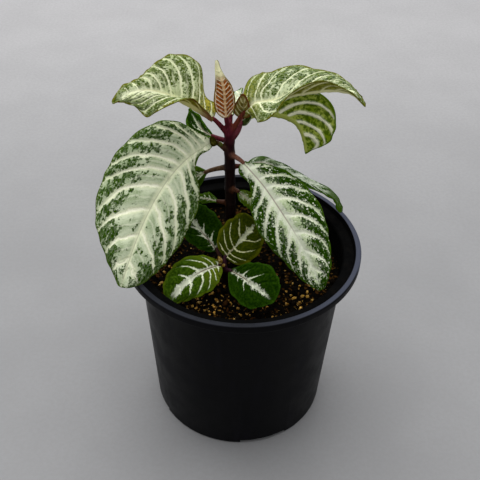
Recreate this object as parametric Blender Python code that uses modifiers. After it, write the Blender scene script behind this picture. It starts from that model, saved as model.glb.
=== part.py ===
"""Potted zebra plant in a black nursery pot.

Origin: centre of the pot's underside. +Z up, the photographed front faces -Y. Units are metres.
"""
import math

import bmesh
import bpy
import numpy as np

MM = 0.001
SEAT = 0.3 * MM

# Pot, a 12 cm nursery pot
POT_HEIGHT = 104 * MM
RIM_RADIUS = 60 * MM
RIM_WIDTH = 2.9 * MM
RIM_BAND = 4 * MM
BODY_TOP_RADIUS = 52.5 * MM
BASE_RADIUS = 46.8 * MM
WALL = 1.3 * MM
FOOT_HEIGHT = 3 * MM
FLOOR = 1.4 * MM
PAD_RADIUS = 20 * MM
PAD_DRAFT = 0.8 * MM
CORNER = 1.5 * MM
FOOT_RING_INSIDE = 43 * MM
POT_SIDES = 48
NOTCH_WIDTH = 26 * MM
NOTCH_HEIGHT = 2.8 * MM
NOTCH_DEPTH = 9 * MM
NOTCH_MIDDLE = NOTCH_HEIGHT / 2 - SEAT
NOTCH_TURN = math.radians(-72)
DRAIN_HOLE_RADIUS = 3.5 * MM
DRAIN_HOLE_RING = 32 * MM
DRAIN_HOLES = 8

# Soil
SOIL_LEVEL = 89 * MM
SOIL_LUMP = 0.8 * MM
SOIL_RINGS = 11

# Stems
MAIN_STEM_FOOT = (-5.8 * MM, 10 * MM)
MAIN_STEM_BURIED = 64 * MM
MAIN_STEM_RADIUS = 2.8 * MM
SHOOT_FOOT = (-8 * MM, -14.5 * MM)
SHOOT_BURIED = 74 * MM
SHOOT_RADIUS = 1.6 * MM
STALK_RADIUS = 1.1 * MM

# Leaf blades
BLADE_THICKNESS = 0.7 * MM
BLADE_ROOT_HALF_WIDTH = 0.4
BLADE_BOW = 0.08
MARGIN_WAVE = 0.5

# Each blade is drawn in millimetres. "midrib" holds evenly spaced points from stalk to tip, "face" the
# direction that the upper side looks in, from stalk to tip. "left" and "right" hold (half width, lift of
# the margin) pairs, seen from the stalk with the upper side up, at stations that crowd at both ends.
LEAVES = {
    "leaf_big_left": dict(
        midrib=[(-15, 6, 159), (-26, 0.5, 153.5), (-35, -5.5, 145.5), (-42, -13, 136.5),
                (-47.5, -21, 127), (-52, -29.5, 117), (-56, -38, 106)],
        face=[(0.05, -0.84, 0.55), (0.03, -0.78, 0.63), (0.06, -0.77, 0.63)],
        left=[(2.2, 0), (3.5, -1), (16.5, -4.5), (19.5, -5), (18.5, -4.5), (14, -3), (7.5, -1.5)],
        right=[(6.2, 0), (20, -2.5), (26, -4), (26.5, -4.5), (22, -3.5), (12, -2), (4, -1.5)],
        waves=5, cells=(18, 5), colour=(0.23, 0.33, 0.16)),
    "leaf_big_right": dict(
        midrib=[(-1, 1, 151.5), (9, -6.5, 143.5), (17.5, -14, 134.5), (25.5, -20.5, 124.5),
                (32.5, -25, 112.5), (38.5, -30, 100)],
        face=[(0, -0.73, 0.69), (0.05, -0.81, 0.58), (0.17, -0.88, 0.44)],
        left=[(3, -2.5), (10, -3), (15.5, -4), (17, -4), (14, -4), (9, -1), (3.5, 0.5)],
        right=[(4.5, -1), (4.5, -2), (11.5, -4), (13.5, -4), (11, -3), (7.5, -1), (3, 0.5)],
        waves=5, cells=(18, 5), colour=(0.2, 0.3, 0.14)),
    "leaf_back_right": dict(
        midrib=[(-1, 11, 142.5), (9.5, 18.5, 140), (18.5, 22.5, 133), (29, 25, 126),
                (38.5, 26.5, 119.5), (47.5, 25, 114.5), (51, 19.5, 109)],
        face=[(0.25, -0.04, 0.97), (0.5, 0.05, 0.85), (0.5, 0.2, 0.8), (0.6, 0.1, 0.8), (0.7, -0.6, 0.45)],
        left=[(0.8, 0), (5, -1.5), (9, -1), (9.5, -0.5), (7, 0), (3.3, 0), (2.5, 0)],
        right=[(2.5, 0.5), (7, -1.5), (9, -1.5), (7, -0.5), (3.5, -0.5), (2, 0), (2.2, 0)],
        waves=3, cells=(14, 4), colour=(0.12, 0.22, 0.07)),
    "leaf_top_left": dict(
        midrib=[(-14.5, 6, 171), (-21.5, 5.5, 176), (-28.5, 5, 180.5), (-36, 3.5, 184.5),
                (-43.5, 1, 187.5), (-51, -2, 187.5), (-57.5, -7, 185)],
        face=[(0.58, 0.01, 0.81), (0.47, -0.39, 0.79), (0.13, -0.58, 0.8)],
        left=[(1, 1), (3, 4), (4, 8), (8.5, 5.5), (12, -1.5), (6, -0.5), (0.5, 0.5)],
        right=[(5.5, 4), (8, 3), (17.5, 8), (18, 5), (7, -0.5), (4, -0.5), (1.5, 0)],
        waves=3, cells=(18, 5), colour=(0.27, 0.33, 0.15)),
    "leaf_top_right": dict(
        midrib=[(-1, 7, 174), (4, 5, 180.5), (12, 3, 183), (20, 2, 186.5), (28.5, 0.5, 189),
                (36.5, -0.5, 190.5), (45, -3, 190.5), (51.5, -5, 185.5)],
        face=[(-0.77, -0.47, 0.43), (-0.27, 0.06, 0.96), (0.63, 0.05, 0.78)],
        left=[(4.5, 1), (13, 1.5), (12.5, 6), (12, 7), (8.5, 5), (4, 1.5), (1, 1)],
        right=[(2, 0), (9, -1.5), (11.5, 1), (9.5, 7), (6.5, 6.5), (3, 1.5), (0.5, 0)],
        waves=3, cells=(18, 5), colour=(0.27, 0.33, 0.15)),
    "leaf_upper_right": dict(
        midrib=[(-2, 12, 168), (4.5, 16.5, 168), (11, 20.5, 166), (18.5, 22.5, 163.5), (25, 23, 159),
                (28.5, 21.5, 152), (30, 20, 144.5)],
        face=[(-0.42, 0.59, 0.69), (0.2, 0.72, 0.66), (0.87, 0.49, 0.07)],
        left=[(0.5, 1), (2.5, 3.5), (4.5, 7.5), (6.5, 11.5), (5.5, 13.5), (3.5, 9), (1, 3)],
        right=[(2, 2), (6.5, 5), (11.5, 9), (14, 12), (15.5, 11.5), (12, 7.5), (1.5, 2.5)],
        waves=3, cells=(16, 5), colour=(0.13, 0.22, 0.05)),
    "leaf_upper_left": dict(
        midrib=[(-15, 13, 157.5), (-20, 18.5, 157), (-24, 24.5, 159), (-27.5, 30, 162.5)],
        face=[(-0.36, -0.24, 0.9), (0.03, -0.53, 0.85)],
        left=[(1, 0), (3, 0), (5, 0), (4, 0.5), (1, 0)],
        right=[(0.5, 0), (2, 0.5), (2.5, 0.5), (2.5, 0), (0.5, 0)],
        waves=2, cells=(10, 3), colour=(0.06, 0.12, 0.03)),
    "leaf_low_left": dict(
        midrib=[(-18.5, 11, 138.5), (-26, 11.5, 133.5), (-33, 12, 126.5), (-40, 10.5, 120), (-46, 9, 113)],
        face=[(-0.47, -0.61, 0.64), (-0.49, -0.67, 0.56), (-0.46, -0.71, 0.54)],
        left=[(2, 0), (4.5, -1), (6, -1), (6.5, 0), (6, -0.5), (4, 0), (1, 0)],
        right=[(2, -0.5), (5.5, -1), (8, -1), (8.5, 0), (7.5, 0), (5, 0), (1, 0)],
        waves=3, cells=(12, 3), colour=(0.1, 0.2, 0.06)),
    "leaf_small_right": dict(
        midrib=[(-3, 5, 132), (0.5, 1.5, 131), (4.5, -2.5, 130), (8, -6, 128)],
        face=[(-0.34, -0.56, 0.76), (-0.23, -0.65, 0.72)],
        left=[(1, -0.5), (3, -1), (4, -1.5), (3, -1.5), (0.5, -0.5)],
        right=[(1, -0.5), (3, -1), (3, -1), (2.5, -1), (0.5, -0.5)],
        waves=2, cells=(10, 3), colour=(0.05, 0.1, 0.03)),
    "leaf_small_left": dict(
        midrib=[(-12.5, 10, 121.5), (-17.5, 11, 122), (-22, 13, 121), (-27, 14, 119.5)],
        face=[(0.07, -0.15, 0.99), (-0.3, -0.06, 0.95)],
        left=[(0.5, 0), (1.5, -0.5), (2.5, -1), (2.5, 0), (0.5, 0)],
        right=[(1, 0), (4, -0.5), (4.5, -0.5), (3.5, -0.5), (1.5, 0)],
        waves=2, cells=(10, 3), colour=(0.05, 0.1, 0.03)),
    "leaf_young_front": dict(
        midrib=[(-9, 7, 171), (-9.5, 6.5, 178), (-10, 6, 185.5), (-11.5, 6.5, 192.5), (-13.5, 8, 199)],
        face=[(-0.16, 0.99, 0.06), (-0.08, 1, 0), (0.15, 0.97, -0.18)],
        left=[(1.5, 0), (4, 1), (4.5, 2), (3.5, 2), (1.5, 1), (0.5, 0.5), (0.5, 0)],
        right=[(2, 0), (4, 0.5), (4.5, 1.5), (3.5, 2), (2.5, 2), (1.5, 1), (0.5, 0)],
        waves=2, cells=(12, 3), colour=(0.33, 0.14, 0.06)),
    "leaf_young_back": dict(
        midrib=[(-7, 12, 169), (-6, 15, 173.5), (-4, 19, 176), (-2, 24, 177.5)],
        face=[(-0.4, -0.72, 0.56), (-0.01, -0.28, 0.96)],
        left=[(0.5, 0), (2.5, -0.5), (2.5, 0), (2.5, 0), (0.5, 0)],
        right=[(1, 0), (2.5, 0), (3, 0), (1.5, 0), (0.5, 0)],
        waves=2, cells=(10, 3), colour=(0.4, 0.33, 0.16)),
    "shoot_leaf_back": dict(
        midrib=[(-12.5, -7, 104), (-19, 0, 107.5), (-25, 7.5, 109.5), (-29, 16.5, 110)],
        face=[(-0.03, -0.47, 0.88), (-0.28, -0.17, 0.94)],
        left=[(4, -0.5), (7, 0), (8, 0.5), (6.5, 1.5), (4, 2)],
        right=[(3, 0), (9, -0.5), (11, 0), (10.5, 0.5), (7, 2)],
        waves=2, cells=(12, 4), colour=(0.02, 0.06, 0.01)),
    "shoot_leaf_right": dict(
        midrib=[(-8.5, -13.5, 105), (-2.5, -9, 109.5), (3, -2.5, 112.5), (7, 5, 113.5)],
        face=[(-0.13, -0.62, 0.78), (0.3, -0.28, 0.91)],
        left=[(7, 0.5), (10.5, 0), (11.5, -0.5), (10, 0), (7.5, 1.5)],
        right=[(7.5, 0.5), (10.5, 1), (10.5, 1), (7, 1), (2, 0.5)],
        waves=2, cells=(12, 4), colour=(0.08, 0.08, 0.02)),
    "shoot_leaf_left": dict(
        midrib=[(-10.5, -17.5, 103.5), (-19.5, -23.5, 104), (-27.5, -29.5, 101), (-34.5, -35.5, 95)],
        face=[(0.29, -0.36, 0.89), (0, -0.71, 0.7)],
        left=[(5, 1.5), (9.5, 1), (10, 1), (7.5, 0.5), (3.5, 0)],
        right=[(3.5, 1), (7.5, 0.5), (10, -1), (8.5, -0.5), (5, 0.5)],
        waves=2, cells=(12, 4), colour=(0.06, 0.12, 0.03)),
    "shoot_leaf_front": dict(
        midrib=[(-5.5, -22, 104), (1, -29, 105.5), (8, -36, 105), (15.5, -41, 102)],
        face=[(-0.43, -0.21, 0.88), (-0.07, -0.6, 0.8)],
        left=[(2.5, 0), (7.5, 0.5), (11.5, 0.5), (10.5, 0), (6.5, 0.5)],
        right=[(3, 0.5), (8, 0.5), (10, 0), (9.5, 0.5), (3.5, 0.5)],
        waves=2, cells=(12, 4), colour=(0.03, 0.09, 0.02)),
}

# Height in millimetres at which each leaf stalk leaves its stem
MAIN_STALKS = {
    "leaf_young_front": 165, "leaf_young_back": 164.5, "leaf_top_left": 161.5, "leaf_top_right": 162,
    "leaf_upper_right": 158.5, "leaf_upper_left": 157, "leaf_big_left": 152, "leaf_big_right": 150.5,
    "leaf_low_left": 143, "leaf_back_right": 143, "leaf_small_right": 130, "leaf_small_left": 121,
}
SHOOT_STALKS = {
    "shoot_leaf_back": 98, "shoot_leaf_right": 100, "shoot_leaf_left": 99, "shoot_leaf_front": 98.5,
}


def clear_scene():
    for old in list(bpy.data.objects):
        bpy.data.objects.remove(old, do_unlink=True)


def new_collection(name):
    collection = bpy.data.collections.new(name)
    bpy.context.scene.collection.children.link(collection)
    return collection


def plain_material(name, colour, roughness):
    material = bpy.data.materials.new(name)
    material.use_nodes = True
    shader = material.node_tree.nodes["Principled BSDF"]
    shader.inputs["Base Color"].default_value = (*colour, 1)
    shader.inputs["Roughness"].default_value = roughness
    shader.inputs["Metallic"].default_value = 0
    return material


def new_object(name, mesh, collection):
    thing = bpy.data.objects.new(name, mesh)
    collection.objects.link(thing)
    return thing


def new_mesh(name, bm):
    mesh = bpy.data.meshes.new(name)
    bm.to_mesh(mesh)
    bm.free()
    return mesh


def hide_cutter(thing):
    thing.hide_render = True
    thing.display_type = "WIRE"


def applied_mesh(thing):
    """The object's mesh with its modifiers applied and loose caps welded."""
    graph = bpy.context.evaluated_depsgraph_get()
    mesh = bpy.data.meshes.new_from_object(thing.evaluated_get(graph))
    bm = bmesh.new()
    bm.from_mesh(mesh)
    bmesh.ops.remove_doubles(bm, verts=bm.verts, dist=0.001 * MM)
    bm.to_mesh(mesh)
    bm.free()
    return mesh


def turned(name, profile, steps, collection):
    """An outline of (radius, height) from the Z axis round and back to it, turned round that axis."""
    bm = bmesh.new()
    rail = [bm.verts.new((radius, 0, height)) for radius, height in profile]
    for first, second in zip(rail, rail[1:]):
        bm.edges.new((first, second))
    thing = new_object(name, new_mesh(name, bm), collection)
    screw = thing.modifiers.new("Turn", "SCREW")
    screw.steps = steps
    screw.render_steps = steps
    screw.use_merge_vertices = True
    screw.merge_threshold = 0.00001
    return thing


def unit(vector):
    return vector / max(np.linalg.norm(vector), 1e-9)


def smooth_through(points, position):
    """Value at position, from 0 to the last index, on a smooth curve through the points."""
    points = np.asarray(points, float)
    last = len(points) - 1
    index = min(int(position), last - 1)
    part = position - index
    here = points[index]
    ahead = points[index + 1]
    behind = points[index - 1] if index > 0 else 2 * here - ahead
    beyond = points[index + 2] if index + 2 <= last else 2 * ahead - here
    return 0.5 * (
        2 * here
        + (ahead - behind) * part
        + (2 * behind - 5 * here + 4 * ahead - beyond) * part ** 2
        + (3 * here - behind - 3 * ahead + beyond) * part ** 3
    )


def margin(side, u):
    """Half width and lift of the margin at u, from stations that crowd at the blade's two ends."""
    stations = [(0, 0), *side, (0, 0)]
    position = math.acos(min(max(1 - 2 * u, -1), 1)) / math.pi * (len(stations) - 1)
    half_width, lift = smooth_through(stations, position)
    return max(half_width, 0) + BLADE_ROOT_HALF_WIDTH, lift


def blade_point(leaf, u, v):
    """Point in millimetres at u from stalk to tip and v from the left margin over the midrib (0)."""
    midrib = leaf["midrib"]
    length = len(midrib) - 1
    here = smooth_through(midrib, u * length)
    ahead = smooth_through(midrib, min(u + 0.01, 1) * length)
    behind = smooth_through(midrib, max(u - 0.01, 0) * length)
    along = unit(ahead - behind)
    face = smooth_through(leaf["face"], u * (len(leaf["face"]) - 1))
    up = unit(face - along * face.dot(along))
    across = np.cross(along, up)
    half_width, lift = margin(leaf["right"] if v > 0 else leaf["left"], u)
    out = abs(v)
    wave = MARGIN_WAVE * math.sin(2 * math.pi * leaf["waves"] * u + 2 * (v > 0)) * math.sin(math.pi * u)
    rise = lift * out + BLADE_BOW * half_width * 4 * out * (1 - out) + wave * out ** 2
    return here + across * half_width * v + up * rise


def add_blade(name, leaf, collection):
    """A thin blade: a flat grid bent to the leaf's form, split into triangles and thickened."""
    long_cells, side_cells = leaf["cells"]
    bm = bmesh.new()
    bmesh.ops.create_grid(bm, x_segments=long_cells, y_segments=2 * side_cells, size=1)
    for vertex in bm.verts:
        evenly = (vertex.co.x + 1) / 2
        u = 0.5 * evenly + 0.25 * (1 - math.cos(math.pi * evenly))
        vertex.co = blade_point(leaf, u, -vertex.co.y) * MM
    bmesh.ops.triangulate(bm, faces=bm.faces[:])
    blade = new_object(name, new_mesh(name, bm), collection)
    thicken = blade.modifiers.new("Thickness", "SOLIDIFY")
    thicken.thickness = BLADE_THICKNESS
    thicken.offset = 0
    blade.data.materials.append(plain_material(name, leaf["colour"], 0.45))
    return blade


def tube(name, points, radii, collection):
    """A closed tube mesh along points in metres, with a radius at each."""
    curve = bpy.data.curves.new(name, "CURVE")
    curve.dimensions = "3D"
    curve.bevel_depth = 1
    curve.bevel_resolution = 2
    curve.use_fill_caps = True
    spline = curve.splines.new("POLY")
    spline.points.add(len(points) - 1)
    for point, place, radius in zip(spline.points, points, radii):
        point.co = (*place, 1)
        point.radius = radius
    guide = new_object(name + "_guide", curve, collection)
    mesh = applied_mesh(guide)
    bpy.data.objects.remove(guide)
    return new_object(name, mesh, collection)


def stalk(name, stem_axis, height, collection):
    """A leaf stalk that starts on the stem's axis and ends a seat's gap before its blade."""
    midrib = np.array(LEAVES[name]["midrib"]) * MM
    axis_x, axis_y = stem_axis(height)
    start = np.array((axis_x, axis_y, height))
    blade_direction = unit(midrib[1] - midrib[0])
    end = midrib[0] - blade_direction * SEAT
    reach = np.linalg.norm(end - start) / 3
    outward = unit(np.array((end[0] - start[0], end[1] - start[1], 0.7 * (end[2] - start[2]))))
    first = start + outward * reach
    second = end - blade_direction * reach
    points = []
    for part in np.linspace(0, 1, 6):
        rest = 1 - part
        points.append(rest ** 3 * start + 3 * rest ** 2 * part * first
                      + 3 * rest * part ** 2 * second + part ** 3 * end)
    radii = np.linspace(1.35 * STALK_RADIUS, 0.9 * STALK_RADIUS, len(points))
    return tube("stalk_" + name, points, radii, collection)


def bud(name, place, radius, stretch, collection):
    """A small bud, sunk into the stem that it grows from."""
    bm = bmesh.new()
    bmesh.ops.create_uvsphere(bm, u_segments=8, v_segments=6, radius=radius)
    bmesh.ops.scale(bm, vec=(1, 1, stretch), verts=bm.verts)
    bmesh.ops.translate(bm, vec=place, verts=bm.verts)
    return new_object(name, new_mesh(name, bm), collection)


def joined(name, pieces, collection):
    """One closed body from overlapping pieces."""
    first, others = pieces[0], pieces[1:]
    group = bpy.data.collections.new(name + "_pieces")
    for piece in others:
        group.objects.link(piece)
    union = first.modifiers.new("Join", "BOOLEAN")
    union.operation = "UNION"
    union.operand_type = "COLLECTION"
    union.collection = group
    mesh = applied_mesh(first)
    for piece in pieces:
        bpy.data.objects.remove(piece)
    bpy.data.collections.remove(group)
    return new_object(name, mesh, collection)


def main_stem_axis(height):
    """The main stem leans a little to the left and to the front above the soil."""
    above = max(height - SOIL_LEVEL - 3 * MM, 0) / (76 * MM)
    return MAIN_STEM_FOOT[0] - 1.8 * MM * above, MAIN_STEM_FOOT[1] - 1.0 * MM * above


def shoot_axis(height):
    above = max(height - SOIL_LEVEL - 2 * MM, 0) / (10 * MM)
    return SHOOT_FOOT[0] - 0.7 * MM * above, SHOOT_FOOT[1] - 2 * MM * above


def build_main_stem(collection):
    heights = [MAIN_STEM_BURIED / MM, 92, 110, 128, 145, 155, 162, 166.5, 168.5]
    widths = [1, 1, 0.98, 0.95, 0.92, 0.88, 0.85, 0.7, 0.3]
    points = [(*main_stem_axis(height * MM), height * MM) for height in heights]
    pieces = [tube("stem", points, [MAIN_STEM_RADIUS * width for width in widths], collection)]
    for name, height in MAIN_STALKS.items():
        pieces.append(stalk(name, main_stem_axis, height * MM, collection))
    x, y = main_stem_axis(158 * MM)
    pieces.append(bud("green_bud", (x - 2.6 * MM, y - 1.6 * MM, 158.5 * MM), 1.4 * MM, 1.5, collection))
    pieces.append(bud("brown_bud", (x + 2.4 * MM, y - 1.4 * MM, 153.5 * MM), 1.2 * MM, 1.2, collection))
    stem = joined("main_stem", pieces, collection)
    stem.data.materials.append(plain_material("stem_bark", (0.05, 0.018, 0.016), 0.6))
    return stem


def build_side_shoot(collection):
    heights = [SHOOT_BURIED / MM, 91, 96, 100, 102, 103.5]
    widths = [1, 1, 0.95, 1, 0.85, 0.4]
    points = [(*shoot_axis(height * MM), height * MM) for height in heights]
    pieces = [tube("shoot", points, [SHOOT_RADIUS * width for width in widths], collection)]
    for name, height in SHOOT_STALKS.items():
        pieces.append(stalk(name, shoot_axis, height * MM, collection))
    shoot = joined("side_shoot", pieces, collection)
    shoot.data.materials.append(plain_material("shoot_bark", (0.045, 0.02, 0.03), 0.6))
    return shoot


def build_pot(collection, cutters):
    """Turned wall with a shoulder under the rim band, a centre pad and a notched foot ring."""
    floor_top = FOOT_HEIGHT + FLOOR
    shoulder = POT_HEIGHT - RIM_BAND
    inside_top = BODY_TOP_RADIUS - WALL
    inside_base = BASE_RADIUS - WALL
    # From the axis along the floor, up the inside, over the rim, down the outside and back to the axis
    outline = [
        (0, FLOOR),
        (PAD_RADIUS - PAD_DRAFT, FLOOR),
        (PAD_RADIUS - PAD_DRAFT + FOOT_HEIGHT, floor_top),
        (inside_base - 1 * MM, floor_top),
        (inside_base, floor_top + CORNER),
        (inside_top, shoulder),
        (inside_top + 0.7 * MM, shoulder + 0.8 * MM),
        (RIM_RADIUS - RIM_WIDTH - 0.6 * MM, shoulder + 1.2 * MM),
        (RIM_RADIUS - RIM_WIDTH, POT_HEIGHT - 0.3 * MM),
        (RIM_RADIUS - RIM_WIDTH + 0.3 * MM, POT_HEIGHT),
        (RIM_RADIUS - 0.5 * MM, POT_HEIGHT),
        (RIM_RADIUS, POT_HEIGHT - 0.5 * MM),
        (RIM_RADIUS, shoulder + 0.3 * MM),
        (RIM_RADIUS - 0.3 * MM, shoulder),
        (BODY_TOP_RADIUS + 0.5 * MM, shoulder - 0.7 * MM),
        (BODY_TOP_RADIUS, shoulder - 1.4 * MM),
        (BASE_RADIUS, 0.8 * MM),
        (BASE_RADIUS - 0.8 * MM, 0),
        (FOOT_RING_INSIDE, 0),
        (FOOT_RING_INSIDE - 0.6 * MM, FOOT_HEIGHT),
        (PAD_RADIUS + FOOT_HEIGHT, FOOT_HEIGHT),
        (PAD_RADIUS, 0),
        (0, 0),
    ]
    pot = turned("pot", outline, POT_SIDES, collection)

    for turn in range(4):
        angle = NOTCH_TURN + turn * math.pi / 2
        bpy.ops.mesh.primitive_cube_add(size=1)
        notch = bpy.context.object
        notch.name = "notch_cutter_%d" % turn
        notch.scale = (NOTCH_DEPTH, NOTCH_WIDTH, NOTCH_HEIGHT)
        notch.location = (BASE_RADIUS * math.cos(angle), BASE_RADIUS * math.sin(angle), NOTCH_MIDDLE)
        notch.rotation_euler = (0, 0, angle)
        move_to(notch, cutters)
    for hole in range(DRAIN_HOLES):
        angle = 2 * math.pi * (hole + 0.5) / DRAIN_HOLES
        place = (DRAIN_HOLE_RING * math.cos(angle), DRAIN_HOLE_RING * math.sin(angle), floor_top)
        bpy.ops.mesh.primitive_cylinder_add(
            vertices=12, radius=DRAIN_HOLE_RADIUS, depth=4 * FLOOR, location=place)
        drill = bpy.context.object
        drill.name = "drain_cutter_%d" % hole
        move_to(drill, cutters)
    cut = pot.modifiers.new("Drainage", "BOOLEAN")
    cut.operand_type = "COLLECTION"
    cut.collection = cutters
    pot.data.materials.append(plain_material("black_plastic", (0.012, 0.012, 0.014), 0.42))
    return pot


def move_to(thing, collection):
    for holder in list(thing.users_collection):
        holder.objects.unlink(thing)
    collection.objects.link(thing)
    hide_cutter(thing)


def soil_height(x, y):
    """Lumpy surface, a little higher round the stems."""
    lumps = (
        math.sin(310 * x + 1.3) * math.sin(270 * y + 0.4)
        + 0.6 * math.sin(720 * x - 530 * y)
        + 0.4 * math.sin(610 * x + 880 * y + 2.1)
    )
    mound = math.exp(-((x + 6 * MM) ** 2 + y ** 2) / (22 * MM) ** 2)
    return SOIL_LEVEL + SOIL_LUMP * 0.5 * lumps + 1 * MM * mound


def build_soil(collection, cutters):
    """Fills the pot from the floor to the soil level, with a plain hole for each stem."""
    floor_top = FOOT_HEIGHT + FLOOR
    shoulder = POT_HEIGHT - RIM_BAND
    inside_top = BODY_TOP_RADIUS - WALL
    inside_base = BASE_RADIUS - WALL
    wall_lean = (inside_top - inside_base) / (shoulder - floor_top - CORNER)
    edge_radius = inside_base + wall_lean * (SOIL_LEVEL - floor_top) - 1.5 * SEAT
    top = [(edge_radius * ring / SOIL_RINGS, SOIL_LEVEL) for ring in range(SOIL_RINGS + 1)]
    bottom = [
        (inside_base - 1.5 * SEAT, floor_top + CORNER),
        (inside_base - 1 * MM - SEAT, floor_top + SEAT),
        (PAD_RADIUS - PAD_DRAFT + FOOT_HEIGHT - SEAT, floor_top + SEAT),
        (PAD_RADIUS - PAD_DRAFT - SEAT, FLOOR + SEAT),
        (0, FLOOR + SEAT),
    ]
    guide = turned("soil_guide", top + bottom, POT_SIDES, collection)
    mesh = applied_mesh(guide)
    bpy.data.objects.remove(guide)
    for vertex in mesh.vertices:
        if vertex.co.z > SOIL_LEVEL - 1 * MM:
            vertex.co.z = soil_height(vertex.co.x, vertex.co.y)
    soil = new_object("soil", mesh, collection)
    for name, foot, bottom_height, radius in (
        ("main_stem_hole", MAIN_STEM_FOOT, MAIN_STEM_BURIED, MAIN_STEM_RADIUS),
        ("side_shoot_hole", SHOOT_FOOT, SHOOT_BURIED, SHOOT_RADIUS),
    ):
        depth = 30 * MM
        bpy.ops.mesh.primitive_cylinder_add(
            vertices=16, radius=radius + 1.5 * SEAT, depth=depth,
            location=(*foot, bottom_height - SEAT + depth / 2))
        hole = bpy.context.object
        hole.name = name
        move_to(hole, cutters)
    cut = soil.modifiers.new("Stem_holes", "BOOLEAN")
    cut.operand_type = "COLLECTION"
    cut.collection = cutters
    soil.data.materials.append(plain_material("potting_mix", (0.02, 0.014, 0.01), 0.95))
    return soil


clear_scene()
PARTS = new_collection("potted_zebra_plant")
build_pot(PARTS, new_collection("pot_cutters"))
build_soil(PARTS, new_collection("soil_cutters"))
build_main_stem(PARTS)
build_side_shoot(PARTS)
for leaf_name, leaf_shape in LEAVES.items():
    add_blade(leaf_name, leaf_shape, PARTS)
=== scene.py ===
import math
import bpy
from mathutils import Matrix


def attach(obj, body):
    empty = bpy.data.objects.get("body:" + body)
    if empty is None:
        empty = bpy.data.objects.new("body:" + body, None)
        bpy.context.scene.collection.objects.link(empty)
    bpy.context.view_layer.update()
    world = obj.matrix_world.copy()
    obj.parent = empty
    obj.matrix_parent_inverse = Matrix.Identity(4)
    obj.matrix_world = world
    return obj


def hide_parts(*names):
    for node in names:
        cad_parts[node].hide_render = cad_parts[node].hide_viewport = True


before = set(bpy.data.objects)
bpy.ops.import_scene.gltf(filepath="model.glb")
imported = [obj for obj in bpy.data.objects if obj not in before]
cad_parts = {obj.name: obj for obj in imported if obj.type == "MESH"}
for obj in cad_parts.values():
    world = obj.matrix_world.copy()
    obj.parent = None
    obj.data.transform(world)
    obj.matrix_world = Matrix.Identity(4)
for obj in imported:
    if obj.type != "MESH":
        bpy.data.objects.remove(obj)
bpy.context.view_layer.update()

from types import SimpleNamespace

import bpy
import numpy as np
from mathutils import Matrix, Vector

# Camera
# It looks down on the plant at 39.5 degrees from about 38 cm in front, held a little off level, with the lens
# and the place that put the pot's rim and foot where the photograph shows them.
MM = 0.001
LOOK_DOWN = math.radians(39.5)
CAMERA_ROLL = math.radians(1.44)
CAMERA_DISTANCE = 378.87 * MM
LOOKED_AT = Vector((-1.21 * MM, 0, 104.98 * MM))
LENS_LENGTH = 56.25
SENSOR_WIDTH = 36
NEAREST_SEEN = 0.01
FARTHEST_SEEN = 20

backwards = Vector((0, -math.cos(LOOK_DOWN), math.sin(LOOK_DOWN)))
level_up = Vector((0, math.sin(LOOK_DOWN), math.cos(LOOK_DOWN)))
level_right = Vector((1, 0, 0))
camera_right = level_right * math.cos(CAMERA_ROLL) + level_up * math.sin(CAMERA_ROLL)
camera_up = level_up * math.cos(CAMERA_ROLL) - level_right * math.sin(CAMERA_ROLL)
camera_place = LOOKED_AT + backwards * CAMERA_DISTANCE

bpy.ops.object.select_all(action="DESELECT")
bpy.ops.object.camera_add()
camera = bpy.context.object
camera.name = "studio_camera"
camera.matrix_world = Matrix((
    (camera_right.x, camera_up.x, backwards.x, camera_place.x),
    (camera_right.y, camera_up.y, backwards.y, camera_place.y),
    (camera_right.z, camera_up.z, backwards.z, camera_place.z),
    (0, 0, 0, 1),
))
camera.data.sensor_width = SENSOR_WIDTH
camera.data.lens = LENS_LENGTH
camera.data.clip_start = NEAREST_SEEN
camera.data.clip_end = FARTHEST_SEEN
bpy.context.scene.camera = camera

# Floor and studio light
# A plain pale grey floor with painted shade that makes it darker towards the front and lighter at the back,
# with one wide soft lamp overhead and a pale surround, as under an overcast sky.
FLOOR_SIZE = 6.0
FRONT_SHADE_FADES_FROM = 60
FRONT_SHADE_GONE_AT = 540
LAMP_PLACE = Vector((-0.15, 0.4, 1.3))
LAMP_AIM = Vector((0, 0, 0.1))
LAMP_SIDE = 1.8
LAMP_POWER = 25.5
SURROUND_STRENGTH = 0.56


def shade(red, green, blue):
    """Linear colour from the 0 to 255 values that are read on a screen."""
    parts = [value / 255 for value in (red, green, blue)]
    linear = [part / 12.92 if part <= 0.04045 else ((part + 0.055) / 1.055) ** 2.4 for part in parts]
    return (*linear, 1)


def start_finish(name):
    """A new material and its one Principled shader."""
    material = bpy.data.materials.new(name)
    material.use_nodes = True
    return material, material.node_tree.nodes["Principled BSDF"]


def is_socket(value):
    return isinstance(value, bpy.types.NodeSocket)


def feed(socket, value):
    """Sets a socket to a number, vector or colour, or links another node's output to it."""
    if is_socket(value):
        socket.id_data.links.new(value, socket)
    else:
        socket.default_value = value


def add_node(near, kind, inputs, **settings):
    """A new node in the tree of another node or socket, with its inputs fed by label or number."""
    node = near.id_data.nodes.new("ShaderNode" + kind)
    for label, value in settings.items():
        setattr(node, label, value)
    for label, value in inputs.items():
        feed(node.inputs[label], value)
    return node


def sum_of(operation, *values):
    near = next(value for value in values if is_socket(value))
    return add_node(near, "Math", dict(enumerate(values)), operation=operation).outputs[0]


def plus(first, second):
    return sum_of("ADD", first, second)


def minus(first, second):
    return sum_of("SUBTRACT", first, second)


def times(first, second):
    return sum_of("MULTIPLY", first, second)


def times_plus(first, second, third):
    return sum_of("MULTIPLY_ADD", first, second, third)


def fade(value, start, end, low=0.0, high=1.0):
    """Passes smoothly from low at start to high at end."""
    inputs = {"Value": value, "From Min": start, "From Max": end, "To Min": low, "To Max": high}
    return add_node(value, "MapRange", inputs, interpolation_type="SMOOTHSTEP").outputs["Result"]


def blend(share, first, second):
    return add_node(share, "Mix", {0: share, 6: first, 7: second}, data_type="RGBA").outputs[2]


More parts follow.
